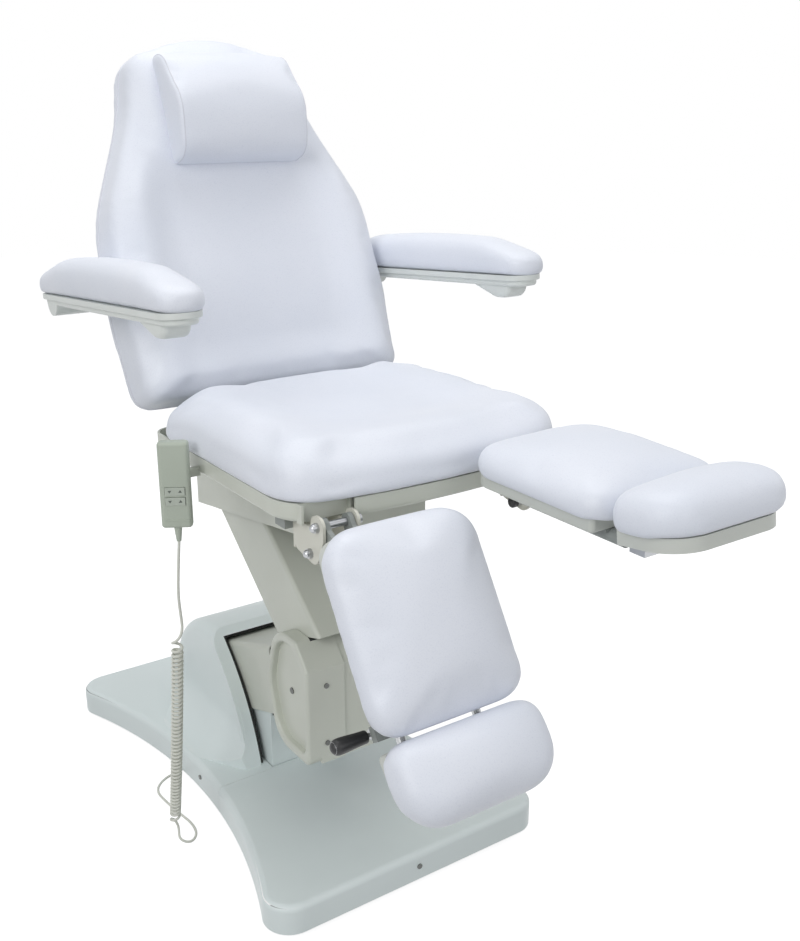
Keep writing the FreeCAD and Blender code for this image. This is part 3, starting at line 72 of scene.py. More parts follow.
def maths(tree, operation, first, second, clamp=False):
    """Result of a sum or product of two numbers or sockets."""
    node = tree.nodes.new("ShaderNodeMath")
    node.operation = operation
    node.use_clamp = clamp
    feed(tree, first, node.inputs[0])
    feed(tree, second, node.inputs[1])
    return node.outputs[0]


def seen_ray(tree):
    """Value that is 1 for rays on which the white surround shows: straight, mirrored or passed through."""
    path = tree.nodes.new("ShaderNodeLightPath")
    some = maths(tree, "ADD", path.outputs["Is Camera Ray"], path.outputs["Is Glossy Ray"])
    return maths(tree, "ADD", some, path.outputs["Is Transmission Ray"], clamp=True)


camera_data = bpy.data.cameras.new("eye_level")
camera_data.lens = 42.39
camera = bpy.data.objects.new("eye_level", camera_data)
camera.location = (-0.980, -1.833, 1.345)
camera.rotation_euler = (math.radians(71.74), 0, math.radians(-34.71))
scene.collection.objects.link(camera)
scene.camera = camera

floor_radius = 9
floor_sides = 96
floor_glow = 0.86
floor_turns = np.linspace(0, 2 * math.pi, floor_sides, endpoint=False)
floor_ring = [(floor_radius * math.cos(a), floor_radius * math.sin(a), 0) for a in floor_turns]
floor_mesh = bpy.data.meshes.new("studio_floor")
floor_mesh.from_pydata(floor_ring, [], [list(range(floor_sides))])
studio_floor = bpy.data.objects.new("studio_floor", floor_mesh)
scene.collection.objects.link(studio_floor)
floor_paper = bpy.data.materials.new("floor_paper")
floor_paper.use_nodes = True
paper = floor_paper.node_tree
paper_shader = paper.nodes["Principled BSDF"]
paper_shader.inputs["Base Color"].default_value = (0.5, 0.5, 0.5, 1)
paper_shader.inputs["Roughness"].default_value = 0.9
paper_shader.inputs["Specular IOR Level"].default_value = 0.0
paper_shader.inputs["Emission Color"].default_value = (1, 1, 1, 1)
paper_glow = maths(paper, "MULTIPLY", seen_ray(paper), floor_glow)
paper.links.new(paper_glow, paper_shader.inputs["Emission Strength"])
floor_mesh.materials.append(floor_paper)

surround = bpy.data.worlds.new("white_surround")
surround.use_nodes = True
scene.world = surround
sky = surround.node_tree
sky.nodes["Background"].inputs["Color"].default_value = (0.93, 0.96, 1.0, 1)
sky.nodes["Background"].inputs["Strength"].default_value = 0.34
white = sky.nodes.new("ShaderNodeBackground")
white.inputs["Color"].default_value = (1, 1, 1, 1)
choose = sky.nodes.new("ShaderNodeMixShader")
sky.links.new(seen_ray(sky), choose.inputs[0])
sky.links.new(sky.nodes["Background"].outputs[0], choose.inputs[1])
sky.links.new(white.outputs[0], choose.inputs[2])
sky.links.new(choose.outputs[0], sky.nodes["World Output"].inputs["Surface"])

for lamp_name, lamp_place, lamp_aim, lamp_width, lamp_watts in (
        ("right_softbox", (-3.2, -1.8, 2.6), (0, -0.2, 0.6), 2.2, 60),
        ("top_softbox", (0.2, 0.2, 3.6), (0, 0, 0.6), 2.6, 42),
        ("front_softbox", (0.4, -3.0, 1.5), (0, -0.7, 0.6), 1.4, 9),
        ("left_softbox", (3.2, -1.4, 2.0), (0, -0.2, 0.7), 2.0, 10)):
    lamp = bpy.data.lights.new(lamp_name, "AREA")
    lamp.size = lamp_width
    lamp.energy = lamp_watts
    lamp_object = bpy.data.objects.new(lamp_name, lamp)
    lamp_object.location = lamp_place
    lamp_way = Vector(lamp_aim) - Vector(lamp_place)
    lamp_object.rotation_euler = lamp_way.to_track_quat("-Z", "Y").to_euler()
    scene.collection.objects.link(lamp_object)


# Base frame: welded steel rails and the pedestal knuckle under the covers,
# powder painted grey. It stands on five rubber feet that screw into it.

def new_group(name, inputs, outputs):
    """Empty shader node group with named sockets, and its two end nodes."""
    group = bpy.data.node_groups.new(name, "ShaderNodeTree")
    for label, kind, value in inputs:
        socket = group.interface.new_socket(label, in_out="INPUT", socket_type="NodeSocket" + kind)
        socket.default_value = value
    for label, kind in outputs:
        group.interface.new_socket(label, in_out="OUTPUT", socket_type="NodeSocket" + kind)
    return group, group.nodes.new("NodeGroupInput"), group.nodes.new("NodeGroupOutput")


def noise_in(tree, scale, detail):
    """Noise over the piece's own coordinates, in cycles per metre."""
    place = tree.nodes.new("ShaderNodeTexCoord")
    noise = tree.nodes.new("ShaderNodeTexNoise")
    noise.inputs["Scale"].default_value = scale
    noise.inputs["Detail"].default_value = detail
    tree.links.new(place.outputs["Object"], noise.inputs["Vector"])
    return noise.outputs["Fac"]


def ranged(tree, value, source, target):
    """Value mapped from one range to another, held at the ends."""
    node = tree.nodes.new("ShaderNodeMapRange")
    feed(tree, value, node.inputs["Value"])
    for label, end in zip(("From Min", "From Max", "To Min", "To Max"), (*source, *target)):
        feed(tree, end, node.inputs[label])
    return node.outputs["Result"]


def mixed(tree, share, first, second):
    """Colour between two colour sockets."""
    node = tree.nodes.new("ShaderNodeMix")
    node.data_type = "RGBA"
    tree.links.new(share, node.inputs["Factor"])
    tree.links.new(first, node.inputs[6])
    tree.links.new(second, node.inputs[7])
    return node.outputs[2]


# Fine skin of moulded or painted surfaces: cloudy tone, small grain, varied gloss.
skin_group, skin_in, skin_out = new_group("surface_skin", [
    ("Colour", "Color", (1, 1, 1, 1)), ("Cloud", "Color", (0.9, 0.9, 0.9, 1)),
    ("Grain Depth", "Float", 0.1), ("Gloss Low", "Float", 0.4), ("Gloss High", "Float", 0.5),
], [("Colour", "Color"), ("Roughness", "Float"), ("Normal", "Vector")])
skin_cloud = ranged(skin_group, noise_in(skin_group, scale=5.0, detail=4.0), (0.35, 0.7), (0.0, 1.0))
skin_tone = mixed(skin_group, skin_cloud, skin_in.outputs["Colour"], skin_in.outputs["Cloud"])
skin_group.links.new(skin_tone, skin_out.inputs["Colour"])
skin_gloss = ranged(
    skin_group, noise_in(skin_group, scale=38.0, detail=5.0), (0.3, 0.7),
    (skin_in.outputs["Gloss Low"], skin_in.outputs["Gloss High"]))
skin_group.links.new(skin_gloss, skin_out.inputs["Roughness"])
grain = skin_group.nodes.new("ShaderNodeBump")
grain.inputs["Distance"].default_value = 0.0005
skin_group.links.new(noise_in(skin_group, scale=900.0, detail=2.0), grain.inputs["Height"])
skin_group.links.new(skin_in.outputs["Grain Depth"], grain.inputs["Strength"])
skin_group.links.new(grain.outputs["Normal"], skin_out.inputs["Normal"])

# Rubbed edges and painted sheen: where the surface turns sharply the tone goes, in patches, towards a
# second tone, mostly lighter: part wear, part painted highlight.
rub_and_sheen_group, rub_and_sheen_in, rub_and_sheen_out = new_group("rubbed_edge_and_sheen", [
    ("Colour", "Color", (1, 1, 1, 1)), ("Worn And Sheen", "Color", (1, 1, 1, 1)), ("Amount", "Float", 0.6),
], [("Colour", "Color")])
rounded_edge = rub_and_sheen_group.nodes.new("ShaderNodeBevel")
rounded_edge.samples = 4
rounded_edge.inputs["Radius"].default_value = 0.003
facing = rub_and_sheen_group.nodes.new("ShaderNodeNewGeometry")
alike = rub_and_sheen_group.nodes.new("ShaderNodeVectorMath")
alike.operation = "DOT_PRODUCT"
rub_and_sheen_group.links.new(rounded_edge.outputs["Normal"], alike.inputs[0])
rub_and_sheen_group.links.new(facing.outputs["Normal"], alike.inputs[1])
sharpness = ranged(rub_and_sheen_group, alike.outputs["Value"], (0.995, 0.86), (0.0, 1.0))
patches = ranged(rub_and_sheen_group, noise_in(rub_and_sheen_group, scale=60.0, detail=4.0), (0.35, 0.65), (0.25, 1.0))
rubbed_and_sheen_share = maths(
    rub_and_sheen_group, "MULTIPLY", maths(rub_and_sheen_group, "MULTIPLY", sharpness, patches), rub_and_sheen_in.outputs["Amount"])
rub_and_sheen_tone = mixed(rub_and_sheen_group, rubbed_and_sheen_share, rub_and_sheen_in.outputs["Colour"], rub_and_sheen_in.outputs["Worn And Sheen"])
rub_and_sheen_group.links.new(rub_and_sheen_tone, rub_and_sheen_out.inputs["Colour"])


def finish_of(name, colour, cloud, worn_and_sheen, wear_and_sheen, depth, gloss, metallic=0.0, coat=0.0):
    """Material with the skin group, the group of rubbed edges with painted edge sheen, and its own values.
    """
    material = bpy.data.materials.new(name)
    material.use_nodes = True
    tree = material.node_tree
    shader = tree.nodes["Principled BSDF"]
    shader.inputs["Metallic"].default_value = metallic
    shader.inputs["Coat Weight"].default_value = coat
    skin = tree.nodes.new("ShaderNodeGroup")
    skin.node_tree = skin_group
    skin.inputs["Colour"].default_value = colour
    skin.inputs["Cloud"].default_value = cloud
    skin.inputs["Grain Depth"].default_value = depth
    skin.inputs["Gloss Low"].default_value = gloss[0]
    skin.inputs["Gloss High"].default_value = gloss[1]
    tree.links.new(skin.outputs["Roughness"], shader.inputs["Roughness"])
    tree.links.new(skin.outputs["Normal"], shader.inputs["Normal"])
    edge = tree.nodes.new("ShaderNodeGroup")
    edge.node_tree = rub_and_sheen_group
    edge.inputs["Worn And Sheen"].default_value = worn_and_sheen
    edge.inputs["Amount"].default_value = wear_and_sheen
    tree.links.new(skin.outputs["Colour"], edge.inputs["Colour"])
    tree.links.new(edge.outputs["Colour"], shader.inputs["Base Color"])
    return material


def dress(material, *names):
    """Gives CAD nodes their material."""
    for name in names:
        if not nodes[name].material_slots:
            nodes[name].data.materials.append(material)
        for place in nodes[name].material_slots:
            place.material = material


frame_paint = finish_of(
    "grey_frame_paint", tone(150, 155, 152), cloud=tone(140, 145, 142), worn_and_sheen=tone(120, 120, 116),
    wear_and_sheen=0.5, depth=0.16, gloss=(0.42, 0.55))
foot_rubber = finish_of(
    "black_rubber", tone(34, 34, 35), cloud=tone(44, 44, 44), worn_and_sheen=tone(70, 70, 68),
    wear_and_sheen=0.5, depth=0.3, gloss=(0.62, 0.78))
dress(frame_paint, "base_frame")
dress(foot_rubber, "levelling_feet")


# Base covers: two vacuum formed shells of pale grey-green plastic that meet
# at a seam across the base and are held to the frame by four dark screws.

def pale_plastic(name, colour, cloud, worn_and_sheen):
    """Moulded pale plastic with a thin clear skin."""
    return finish_of(name, colour, cloud, worn_and_sheen, wear_and_sheen=0.5, depth=0.1, gloss=(0.36, 0.46), coat=0.08)


cover_plastic = pale_plastic(
    "pale_cover_plastic", tone(231, 240, 239), cloud=tone(227, 236, 235), worn_and_sheen=tone(242, 246, 245))
dark_screw = finish_of(
    "blackened_screw_steel", tone(104, 106, 104), cloud=tone(92, 94, 92), worn_and_sheen=tone(150, 151, 149),
    wear_and_sheen=0.5, depth=0.12, gloss=(0.3, 0.42), metallic=1.0)
dress(cover_plastic, "base_cover_front", "base_cover_rear")
dress(dark_screw, "cover_screws")


# Pedestal hood: a deep moulded cowl of the cover plastic around the lower
# arm, with a black rubber lip in its mouth, a fixed shroud with two flaps
# under the arm, and a mains inlet of black plastic in the rear cover.

inlet_plastic = finish_of(
    "black_plastic", tone(30, 31, 33), cloud=tone(38, 39, 41), worn_and_sheen=tone(74, 75, 76),
    wear_and_sheen=0.5, depth=0.14, gloss=(0.34, 0.46))
dress(cover_plastic, "pedestal_hood", "lower_shroud")
dress(foot_rubber, "hood_seal")
dress(inlet_plastic, "mains_inlet")


def moulded(name, rings, material, body, smooth=False):
    """Closed piece through rings of points, with both ends filled, on a body."""
    count = len(rings[0])
    points = [place for ring in rings for place in ring]
    last = len(points) - count
    faces = [tuple(range(count)), tuple(range(len(points) - 1, last - 1, -1))]
    for low in range(0, last, count):
        for k in range(count):
            m = (k + 1) % count
            faces.append((low + k, low + m, low + count + m, low + count + k))
    mesh = bpy.data.meshes.new(name)
    mesh.from_pydata(points, [], faces)
    work = bmesh.new()
    work.from_mesh(mesh)
    bmesh.ops.recalc_face_normals(work, faces=work.faces[:])
    work.to_mesh(mesh)
    work.free()
    mesh.polygons.foreach_set("use_smooth", [smooth] * len(mesh.polygons))
    mesh.materials.append(material)
    piece = bpy.data.objects.new(name, mesh)
    scene.collection.objects.link(piece)
    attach(piece, body)


wing_front = -0.0868
wing_thick = 0.003
wing_ease = 0.0006
wing_line = np.array([
    (0.080, 0.136), (0.080, 0.186), (0.056, 0.186), (0.048, 0.183), (0.044, 0.176), (0.044, 0.136)])
for wing_name, wing_side in (("shroud_wing_right", -1), ("shroud_wing_left", 1)):
    wing_edge = wing_line * (wing_side, 1)
    inward = wing_edge.mean(axis=0) - wing_edge
    inward /= np.linalg.norm(inward, axis=1)[:, None]
    wing_rings = []
    for wing_depth, wing_inset in ((0.0, wing_ease), (wing_ease, 0.0), (wing_thick, 0.0)):
        wing_rings.append([(x, wing_front + wing_depth, z) for x, z in wing_edge + wing_inset * inward])
    moulded(wing_name, wing_rings, cover_plastic, "base")


# Lift drive: a gear motor in a grey cast case turns the lower arm on a steel
# shaft. Arm and tie rods are painted steel, the arm's outside a moulded cover.

motor_case = finish_of(
    "grey_motor_case", tone(120, 124, 126), cloud=tone(108, 112, 114), worn_and_sheen=tone(150, 152, 152),
    wear_and_sheen=0.5, depth=0.2, gloss=(0.42, 0.56))
screw_steel = finish_of(
    "zinc_plated_steel", tone(188, 190, 192), cloud=tone(168, 170, 173), worn_and_sheen=tone(214, 214, 212),
    wear_and_sheen=0.6, depth=0.12, gloss=(0.24, 0.38), metallic=1.0)
# A darker, warmer copy of the cover plastic for the arm covers, elbow caps and panel, seat tub and tray:
# painted shade on these shaded parts.
shaded_cover_plastic = pale_plastic(
    "cover_plastic_painted_shade", tone(212, 215, 204), cloud=tone(207, 210, 199), worn_and_sheen=tone(228, 230, 222))
dress(motor_case, "lift_gearmotor")
dress(screw_steel, "lift_pivot_shaft")
dress(frame_paint, "lower_arm", "lower_tie_rod")
dress(shaded_cover_plastic, "lower_arm_cover")


# Elbow: a cast block carries both gear shafts. Moulded D-shaped caps with a
# dished oval close its sides and a panel its front, each held by screws.

dress(frame_paint, "elbow_block")
dress(shaded_cover_plastic, "elbow_cap_left", "elbow_cap_right", "elbow_front_panel")
dress(dark_screw, "elbow_screws")
dress(screw_steel, "elbow_lower_shaft", "elbow_upper_shaft")


# Upper arm: a painted steel box arm inside a moulded cover, with its tie rod
# beside it, which keeps the seat level as the lift moves.

dress(frame_paint, "upper_arm", "upper_tie_rod")
dress(shaded_cover_plastic, "upper_arm_cover")


# Seat carrier: a welded steel frame in a moulded tub and a flat tray of the cover plastic,
# given the same darker, warmer copy as the arm covers, which paints in their shade. The leg rests
# hang on ivory painted steel brackets with through bolts and domed nuts.

bracket_paint = finish_of(
    "ivory_bracket_paint", tone(224, 223, 211), cloud=tone(216, 215, 203), worn_and_sheen=tone(176, 174, 164),
    wear_and_sheen=0.5, depth=0.12, gloss=(0.34, 0.46))
dress(frame_paint, "seat_frame")
dress(motor_case, "recline_gearmotor")
dress(shaded_cover_plastic, "seat_tub", "seat_tray")
dress(bracket_paint, "leg_bracket_left", "leg_bracket_right")
dress(screw_steel, "leg_hinge_bolts", "seat_pivot_shaft")


# Seat cushion: a foam block on a board, covered in smooth white coated cloth
# drawn tight and stapled below. Its sides are a little raised round a shallow
# hollow, and the front edge rolls over.

# Coated cloth: a fine pebbled skin with its pores painted darker as shade, and a cloudy tone.
coat_group, coat_in, coat_out = new_group("coated_cloth", [
    ("Colour", "Color", (1, 1, 1, 1)), ("Cloud", "Color", (0.9, 0.9, 0.9, 1)),
    ("Pore Shade", "Color", (0.8, 0.8, 0.8, 1)),
    ("Pebble", "Float", 620.0), ("Grain Depth", "Float", 0.12),
], [("Colour", "Color"), ("Roughness", "Float"), ("Normal", "Vector")])
coat_cloud = ranged(coat_group, noise_in(coat_group, scale=4.0, detail=3.0), (0.35, 0.7), (0.0, 1.0))
coat_tone = mixed(coat_group, coat_cloud, coat_in.outputs["Colour"], coat_in.outputs["Cloud"])
pebble = coat_group.nodes.new("ShaderNodeTexVoronoi")
pebble.feature = "SMOOTH_F1"
pebble_place = coat_group.nodes.new("ShaderNodeTexCoord")
coat_group.links.new(pebble_place.outputs["Object"], pebble.inputs["Vector"])
coat_group.links.new(coat_in.outputs["Pebble"], pebble.inputs["Scale"])
# The sunken crevices between the pebbles are painted darker: painted shade in the grain.
pore_shade_share = ranged(coat_group, pebble.outputs["Distance"], (0.45, 0.9), (0.0, 0.5))
coat_group.links.new(
    mixed(coat_group, pore_shade_share, coat_tone, coat_in.outputs["Pore Shade"]), coat_out.inputs["Colour"])
coat_gloss = ranged(coat_group, noise_in(coat_group, scale=22.0, detail=4.0), (0.3, 0.7), (0.4, 0.52))
coat_group.links.new(coat_gloss, coat_out.inputs["Roughness"])
pores = coat_group.nodes.new("ShaderNodeBump")
pores.invert = True
pores.inputs["Distance"].default_value = 0.0004
coat_group.links.new(pebble.outputs["Distance"], pores.inputs["Height"])
coat_group.links.new(coat_in.outputs["Grain Depth"], pores.inputs["Strength"])
coat_group.links.new(pores.outputs["Normal"], coat_out.inputs["Normal"])


def covering(name, colour, cloud, pore_shade, depth):
    """Coated cloth material with its own tones."""
    material = bpy.data.materials.new(name)
    material.use_nodes = True
    tree = material.node_tree
    shader = tree.nodes["Principled BSDF"]
    shader.inputs["Sheen Weight"].default_value = 0.06
    cloth = tree.nodes.new("ShaderNodeGroup")
    cloth.node_tree = coat_group
    cloth.inputs["Colour"].default_value = colour
    cloth.inputs["Cloud"].default_value = cloud
    cloth.inputs["Pore Shade"].default_value = pore_shade
    cloth.inputs["Grain Depth"].default_value = depth
    tree.links.new(cloth.outputs["Colour"], shader.inputs["Base Color"])
    tree.links.new(cloth.outputs["Roughness"], shader.inputs["Roughness"])
    tree.links.new(cloth.outputs["Normal"], shader.inputs["Normal"])
    return material


white_covering = covering(
    "white_coated_cloth", tone(233, 236, 244), cloud=tone(228, 232, 241), pore_shade=tone(215, 219, 231),
    depth=0.1)


def settled(pad):
    """Turns the modifiers of a pad into its mesh."""
    graph = bpy.context.evaluated_depsgraph_get()
    mesh = bpy.data.meshes.new_from_object(pad.evaluated_get(graph))
    pad.modifiers.clear()
    pad.data = mesh


def spots(mesh):
    """Vertex places of a mesh as an array."""
    out = np.empty(len(mesh.vertices) * 3)
    mesh.vertices.foreach_get("co", out)
    return out.reshape(-1, 3)


def ramp(value, low, high):
    """Smooth step from 0 at low to 1 at high."""
    part = np.clip((value - low) / (high - low), 0, 1)
    return part * part * (3 - 2 * part)


def main_face(mesh, face):
    """Direction of the largest flat part of a mesh that looks about the given way."""
    least_alike = 0.3
    areas = {}
    for polygon in mesh.polygons:
        if polygon.normal.dot(Vector(face)) > least_alike:
            way = tuple(round(c, 2) for c in polygon.normal)
            areas[way] = areas.get(way, 0.0) + polygon.area
    return np.array(Vector(max(areas, key=areas.get)).normalized())


def even_out(pad, rounds):
    """Smooths the pad's surface."""
    ease = pad.modifiers.new("ease", "SMOOTH")
    ease.factor = 0.5
    ease.iterations = rounds
    settled(pad)


def blow_up(pad, held):
    """Swells the pad by cloth pressure while the held vertices stay on its board."""
    frames = 20
    resting = pad.vertex_groups.new(name="resting")
    resting.add([int(i) for i in held], 1.0, "REPLACE")
    cloth = pad.modifiers.new("swell", "CLOTH")
    cloth.settings.quality = 4
    cloth.settings.mass = 0.3
    cloth.settings.tension_stiffness = 25
    cloth.settings.compression_stiffness = 25
    cloth.settings.bending_stiffness = 4
    cloth.settings.use_pressure = True
    cloth.settings.uniform_pressure_force = 4
    cloth.settings.vertex_group_mass = "resting"
    cloth.settings.effector_weights.gravity = 0
    cloth.point_cache.frame_end = frames
    for step in range(1, frames + 1):
        scene.frame_set(step)
    settled(pad)
    scene.frame_set(1)


def upholster(node, body, face, swell, form, voxel=0.006, easing=8, sideways=0.5, hem=0.0):
    """Covered pad in the space of a CAD node: remeshed, blown up by cloth pressure while its underside
    stays on its board, then raised along its face by form(across, along), where across goes from -1 to 1
    and along from 0 to 1. Swell is the most that a spot moves, and sideways the share of it that is kept
    in the plane of the board. Hem is how far the cover's lower edge reaches down past the board, most at
    the corners."""
    held_height = 0.012
    last_easing = 9
    up = main_face(nodes[node].data, face)
    run = np.cross(up, (1, 0, 0))
    pad = bpy.data.objects.new(node + "_cover", nodes[node].data.copy())
    scene.collection.objects.link(pad)
    block = pad.modifiers.new("block", "REMESH")
    block.mode = "VOXEL"
    block.voxel_size = voxel
    even_out(pad, easing)
    start = spots(pad.data)
    height = start @ up
    low = height.min()
    blow_up(pad, np.nonzero(height < low + held_height)[0])
    moved = spots(pad.data) - start
    far = np.linalg.norm(moved, axis=1)
    moved *= np.minimum(1.0, swell / np.maximum(far, 1e-9))[:, None]
    rise = (moved @ up)[:, None] * up
    now = start + (rise + sideways * (moved - rise))
    middle = (start[:, 0].min() + start[:, 0].max()) / 2
    half_width = (start[:, 0].max() - start[:, 0].min()) / 2
    across = (now[:, 0] - middle) / half_width
    along = start @ run
    along = (along - along.min()) / (along.max() - along.min())
    share = np.clip((height - low) / (height.max() - low), 0, 1)
    now += up * (share * form(np.clip(across, -1, 1), along))[:, None]
    ends = np.abs(2 * along - 1)
    rim = ramp(np.maximum(np.abs(across), ends), 0.88, 0.98) * (1 - share)
    corner = np.clip(np.abs(across) * ends, 0, 1) ** 4
    now -= up * (hem * rim * (0.4 + 0.6 * corner))[:, None]
    pad.data.vertices.foreach_set("co", now.ravel())
    even_out(pad, last_easing)
    pad.data.materials.clear()
    pad.data.materials.append(white_covering)
    pad.data.polygons.foreach_set("use_smooth", [True] * len(pad.data.polygons))
    pad.vertex_groups.clear()
    finer = pad.modifiers.new("finer", "SUBSURF")
    finer.levels = 1
    finer.render_levels = 1
    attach(pad, body)
    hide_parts(node)
    return pad, up, low


def seat_form(across, along):
    """Low rolls at the sides and rear, a shallow hollow, and edges that drop at rear corners and front."""
    side = np.abs(across)
    side_roll = (ramp(side, 0.42, 0.8) - ramp(side, 0.84, 1.0) * 0.5) * (1 - ramp(along, 0.55, 0.9))
    rear_roll = ramp(along, 0.76, 1.0) * (1 - ramp(side, 0.5, 0.9))
    hollow = (1 - ramp(np.abs(along - 0.55), 0.18, 0.45)) * (1 - ramp(side, 0.3, 0.75))
    rear_corner = ramp(side, 0.6, 1.0) * ramp(along, 0.72, 1.0)
    front_roll = ramp(1 - along, 0.84, 1.0)
    raised = 0.004 * side_roll + 0.006 * rear_roll
    lowered = 0.012 * hollow + 0.022 * rear_corner + 0.010 * front_roll
    return raised - lowered


upholster("seat_cushion", "seat", (0, 0, 1), 0.012, seat_form, voxel=0.007)


# Backrest: a steel frame behind a moulded shell carries a shaped foam cushion
# with raised side rolls and a shallow hollow for the back, under tight white
# coated cloth with one seam round its side.

seam_thread = covering(
    "seam_of_coated_cloth", tone(222, 223, 231), cloud=tone(216, 217, 226), pore_shade=tone(204, 205, 216),
    depth=0.2)


def smooth_line(name, points, thick, closed=False):
    """Curve object along the pull of its points, open or closed to a ring."""
    curve = bpy.data.curves.new(name, "CURVE")
    curve.dimensions = "3D"
    curve.bevel_depth = thick
    curve.bevel_resolution = 2 if closed else 3
    spline = curve.splines.new("NURBS")
    spline.points.add(len(points) - 1)
    for spot, place in zip(spline.points, points):
        spot.co = (*place, 1)
    spline.order_u = 3
    spline.use_cyclic_u = closed
    spline.use_endpoint_u = not closed
    spline.resolution_u = 2 if closed else 4
    line = bpy.data.objects.new(name, curve)
    scene.collection.objects.link(line)
    return line


def stitch(pad, name, body, point, normal, thick=0.0011):
    """Raised seam where a plane meets the pad's cover."""
    kept_points = 3
    graph = bpy.context.evaluated_depsgraph_get()
    mesh = bpy.data.meshes.new_from_object(pad.evaluated_get(graph))
    work = bmesh.new()
    work.from_mesh(mesh)
    whole = work.verts[:] + work.edges[:] + work.faces[:]
    cut = bmesh.ops.bisect_plane(work, geom=whole, plane_co=point, plane_no=normal)["geom_cut"]
    left = {e for e in cut if isinstance(e, bmesh.types.BMEdge)}
    loops = []
    while left:
        edge = left.pop()
        line = [edge.verts[0], edge.verts[1]]
        going = True
        while going:
            ahead = [e for e in line[-1].link_edges if e in left]
            going = bool(ahead)
            if going:
                left.discard(ahead[0])
                line.append(ahead[0].other_vert(line[-1]))
        loops.append([v.co.copy() for v in line])
    longest = max(loops, key=len)
    seam = smooth_line(name, longest[:-1:kept_points], thick, closed=True)
    seam.data.materials.append(seam_thread)
    work.free()
    bpy.data.meshes.remove(mesh)
    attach(seam, body)


def back_form(across, along):
    """Side rolls and a hollow over the lower part of the back."""
    side = np.abs(across)
    below = 1 - ramp(along, 0.5, 0.72)
    side_roll = ramp(side, 0.6, 0.8) * below
    hollow = below * (1 - ramp(side, 0.48, 0.76)) * ramp(along, 0.0, 0.16)
    return 0.008 * side_roll - 0.020 * hollow


dress(frame_paint, "backrest_frame")
dress(cover_plastic, "backrest_shell")
back_facing = (0, -0.93, 0.37)
back_seam_height = 0.03
back_cover, back_up, back_low = upholster(
    "backrest_cushion", "backrest", back_facing, 0.012, back_form, voxel=0.007)
stitch(back_cover, "backrest_cushion_seam", "backrest",
       Vector(back_up) * (back_low + back_seam_height), Vector(back_up))


# Pillow: a loaf of soft foam in a sewn cover of the same cloth, with an oval
# panel let into each end. It lies against the backrest and slides along it.

def pillow_form(across, along):
    """Fuller in the middle of its width."""
    return 0.005 * (1 - across ** 2)


pillow_seam_x = 0.124
pillow_cover = upholster(
    "pillow", "pillow", back_facing, 0.008, pillow_form, voxel=0.004, easing=4, sideways=0.3)[0]
for seam_side, seam_x in (("right", -pillow_seam_x), ("left", pillow_seam_x)):
    stitch(pillow_cover, "pillow_end_seam_" + seam_side, "pillow", (seam_x, 0, 0), (1, 0, 0))


# Arm rests: long foam pads, highest in the middle, on moulded trays of white
# plastic, which hinge on a pin at the backrest.

def arm_form(across, along):
    """Crowned along its length, with ends that drop."""
    end = np.abs(2 * along - 1)
    return 0.012 * (1 - end ** 2) - 0.018 * ramp(end, 0.55, 1.0)


tray_plastic = pale_plastic(
    "white_tray_plastic", tone(226, 230, 226), cloud=tone(221, 225, 221), worn_and_sheen=tone(236, 239, 235))
dress(tray_plastic, "arm_tray_left", "arm_tray_right")
for arm_side in ("left", "right"):
    upholster(
        "arm_pad_" + arm_side, "arm_" + arm_side, (0, 0, 1), 0.010, arm_form,
        voxel=0.005, easing=6, sideways=0.7, hem=0.005)


# Leg rests: steel calf frames with sliding foot plates. Calf and foot pads
# are plump foam with full round edges on grey moulded trays. A clamp lever
# with a black grip locks each slide, and each lock bolt ends in a black cap.

def leg_form(across, along):
    """Crowned both ways."""
    return 0.012 * (1 - across ** 2) * (1 - (2 * along - 1) ** 2)


leg_plastic = pale_plastic(
    "grey_tray_plastic", tone(206, 209, 202), cloud=tone(201, 204, 197), worn_and_sheen=tone(220, 222, 216))
grip_plastic = finish_of(
    "black_grip_plastic", tone(26, 26, 28), cloud=tone(34, 34, 36), worn_and_sheen=tone(66, 66, 68),
    wear_and_sheen=0.4, depth=0.2, gloss=(0.36, 0.5))


def turned(name, body, profile, end, way, middle):
    """Piece turned about an axis along X. Its profile has pairs of distance in from the end and radius."""
    around = 32
    rings = []
    for inset, radius in profile:
        ring = []
        for k in range(around):
            a = 2 * math.pi * k / around
            y = middle[0] + radius * math.cos(a)
            z = middle[1] + radius * math.sin(a)
            ring.append((end - way * inset, y, z))
        rings.append(ring)
    moulded(name, rings, grip_plastic, body, smooth=True)


def lever_grip(side):
    """Moulded sleeve that swells towards the lever's outer end and closes in a dome."""
    tip_length = 0.045
    length = 0.0545
    neck = 0.0095
    wide = 0.0118
    dome = 0.012
    dome_start = 0.008
    lever = spots(nodes["clamp_lever_" + side].data)
    end = lever[np.argmax(np.abs(lever[:, 0])), 0]
    tip = lever[np.abs(lever[:, 0]) > abs(end) - tip_length]
    middle = (tip.min(axis=0) + tip.max(axis=0)) / 2
    profile = [(length, 0.0046), (length, 0.0062), (length - 0.0012, 0.0088)]
    for k in range(13):
        part = k / 12
        inset = (length - 0.003) * (1 - part) + dome_start * part
        profile.append((inset, neck + (wide - neck) * float(ramp(part, 0.0, 1.0))))
    for k in range(1, 9):
        a = math.pi / 2 * k / 9
        profile.append((dome_start - dome * math.sin(a), wide * math.cos(a)))
    turned("lever_grip_" + side, "lever_" + side, profile, end, math.copysign(1, end), middle[1:])


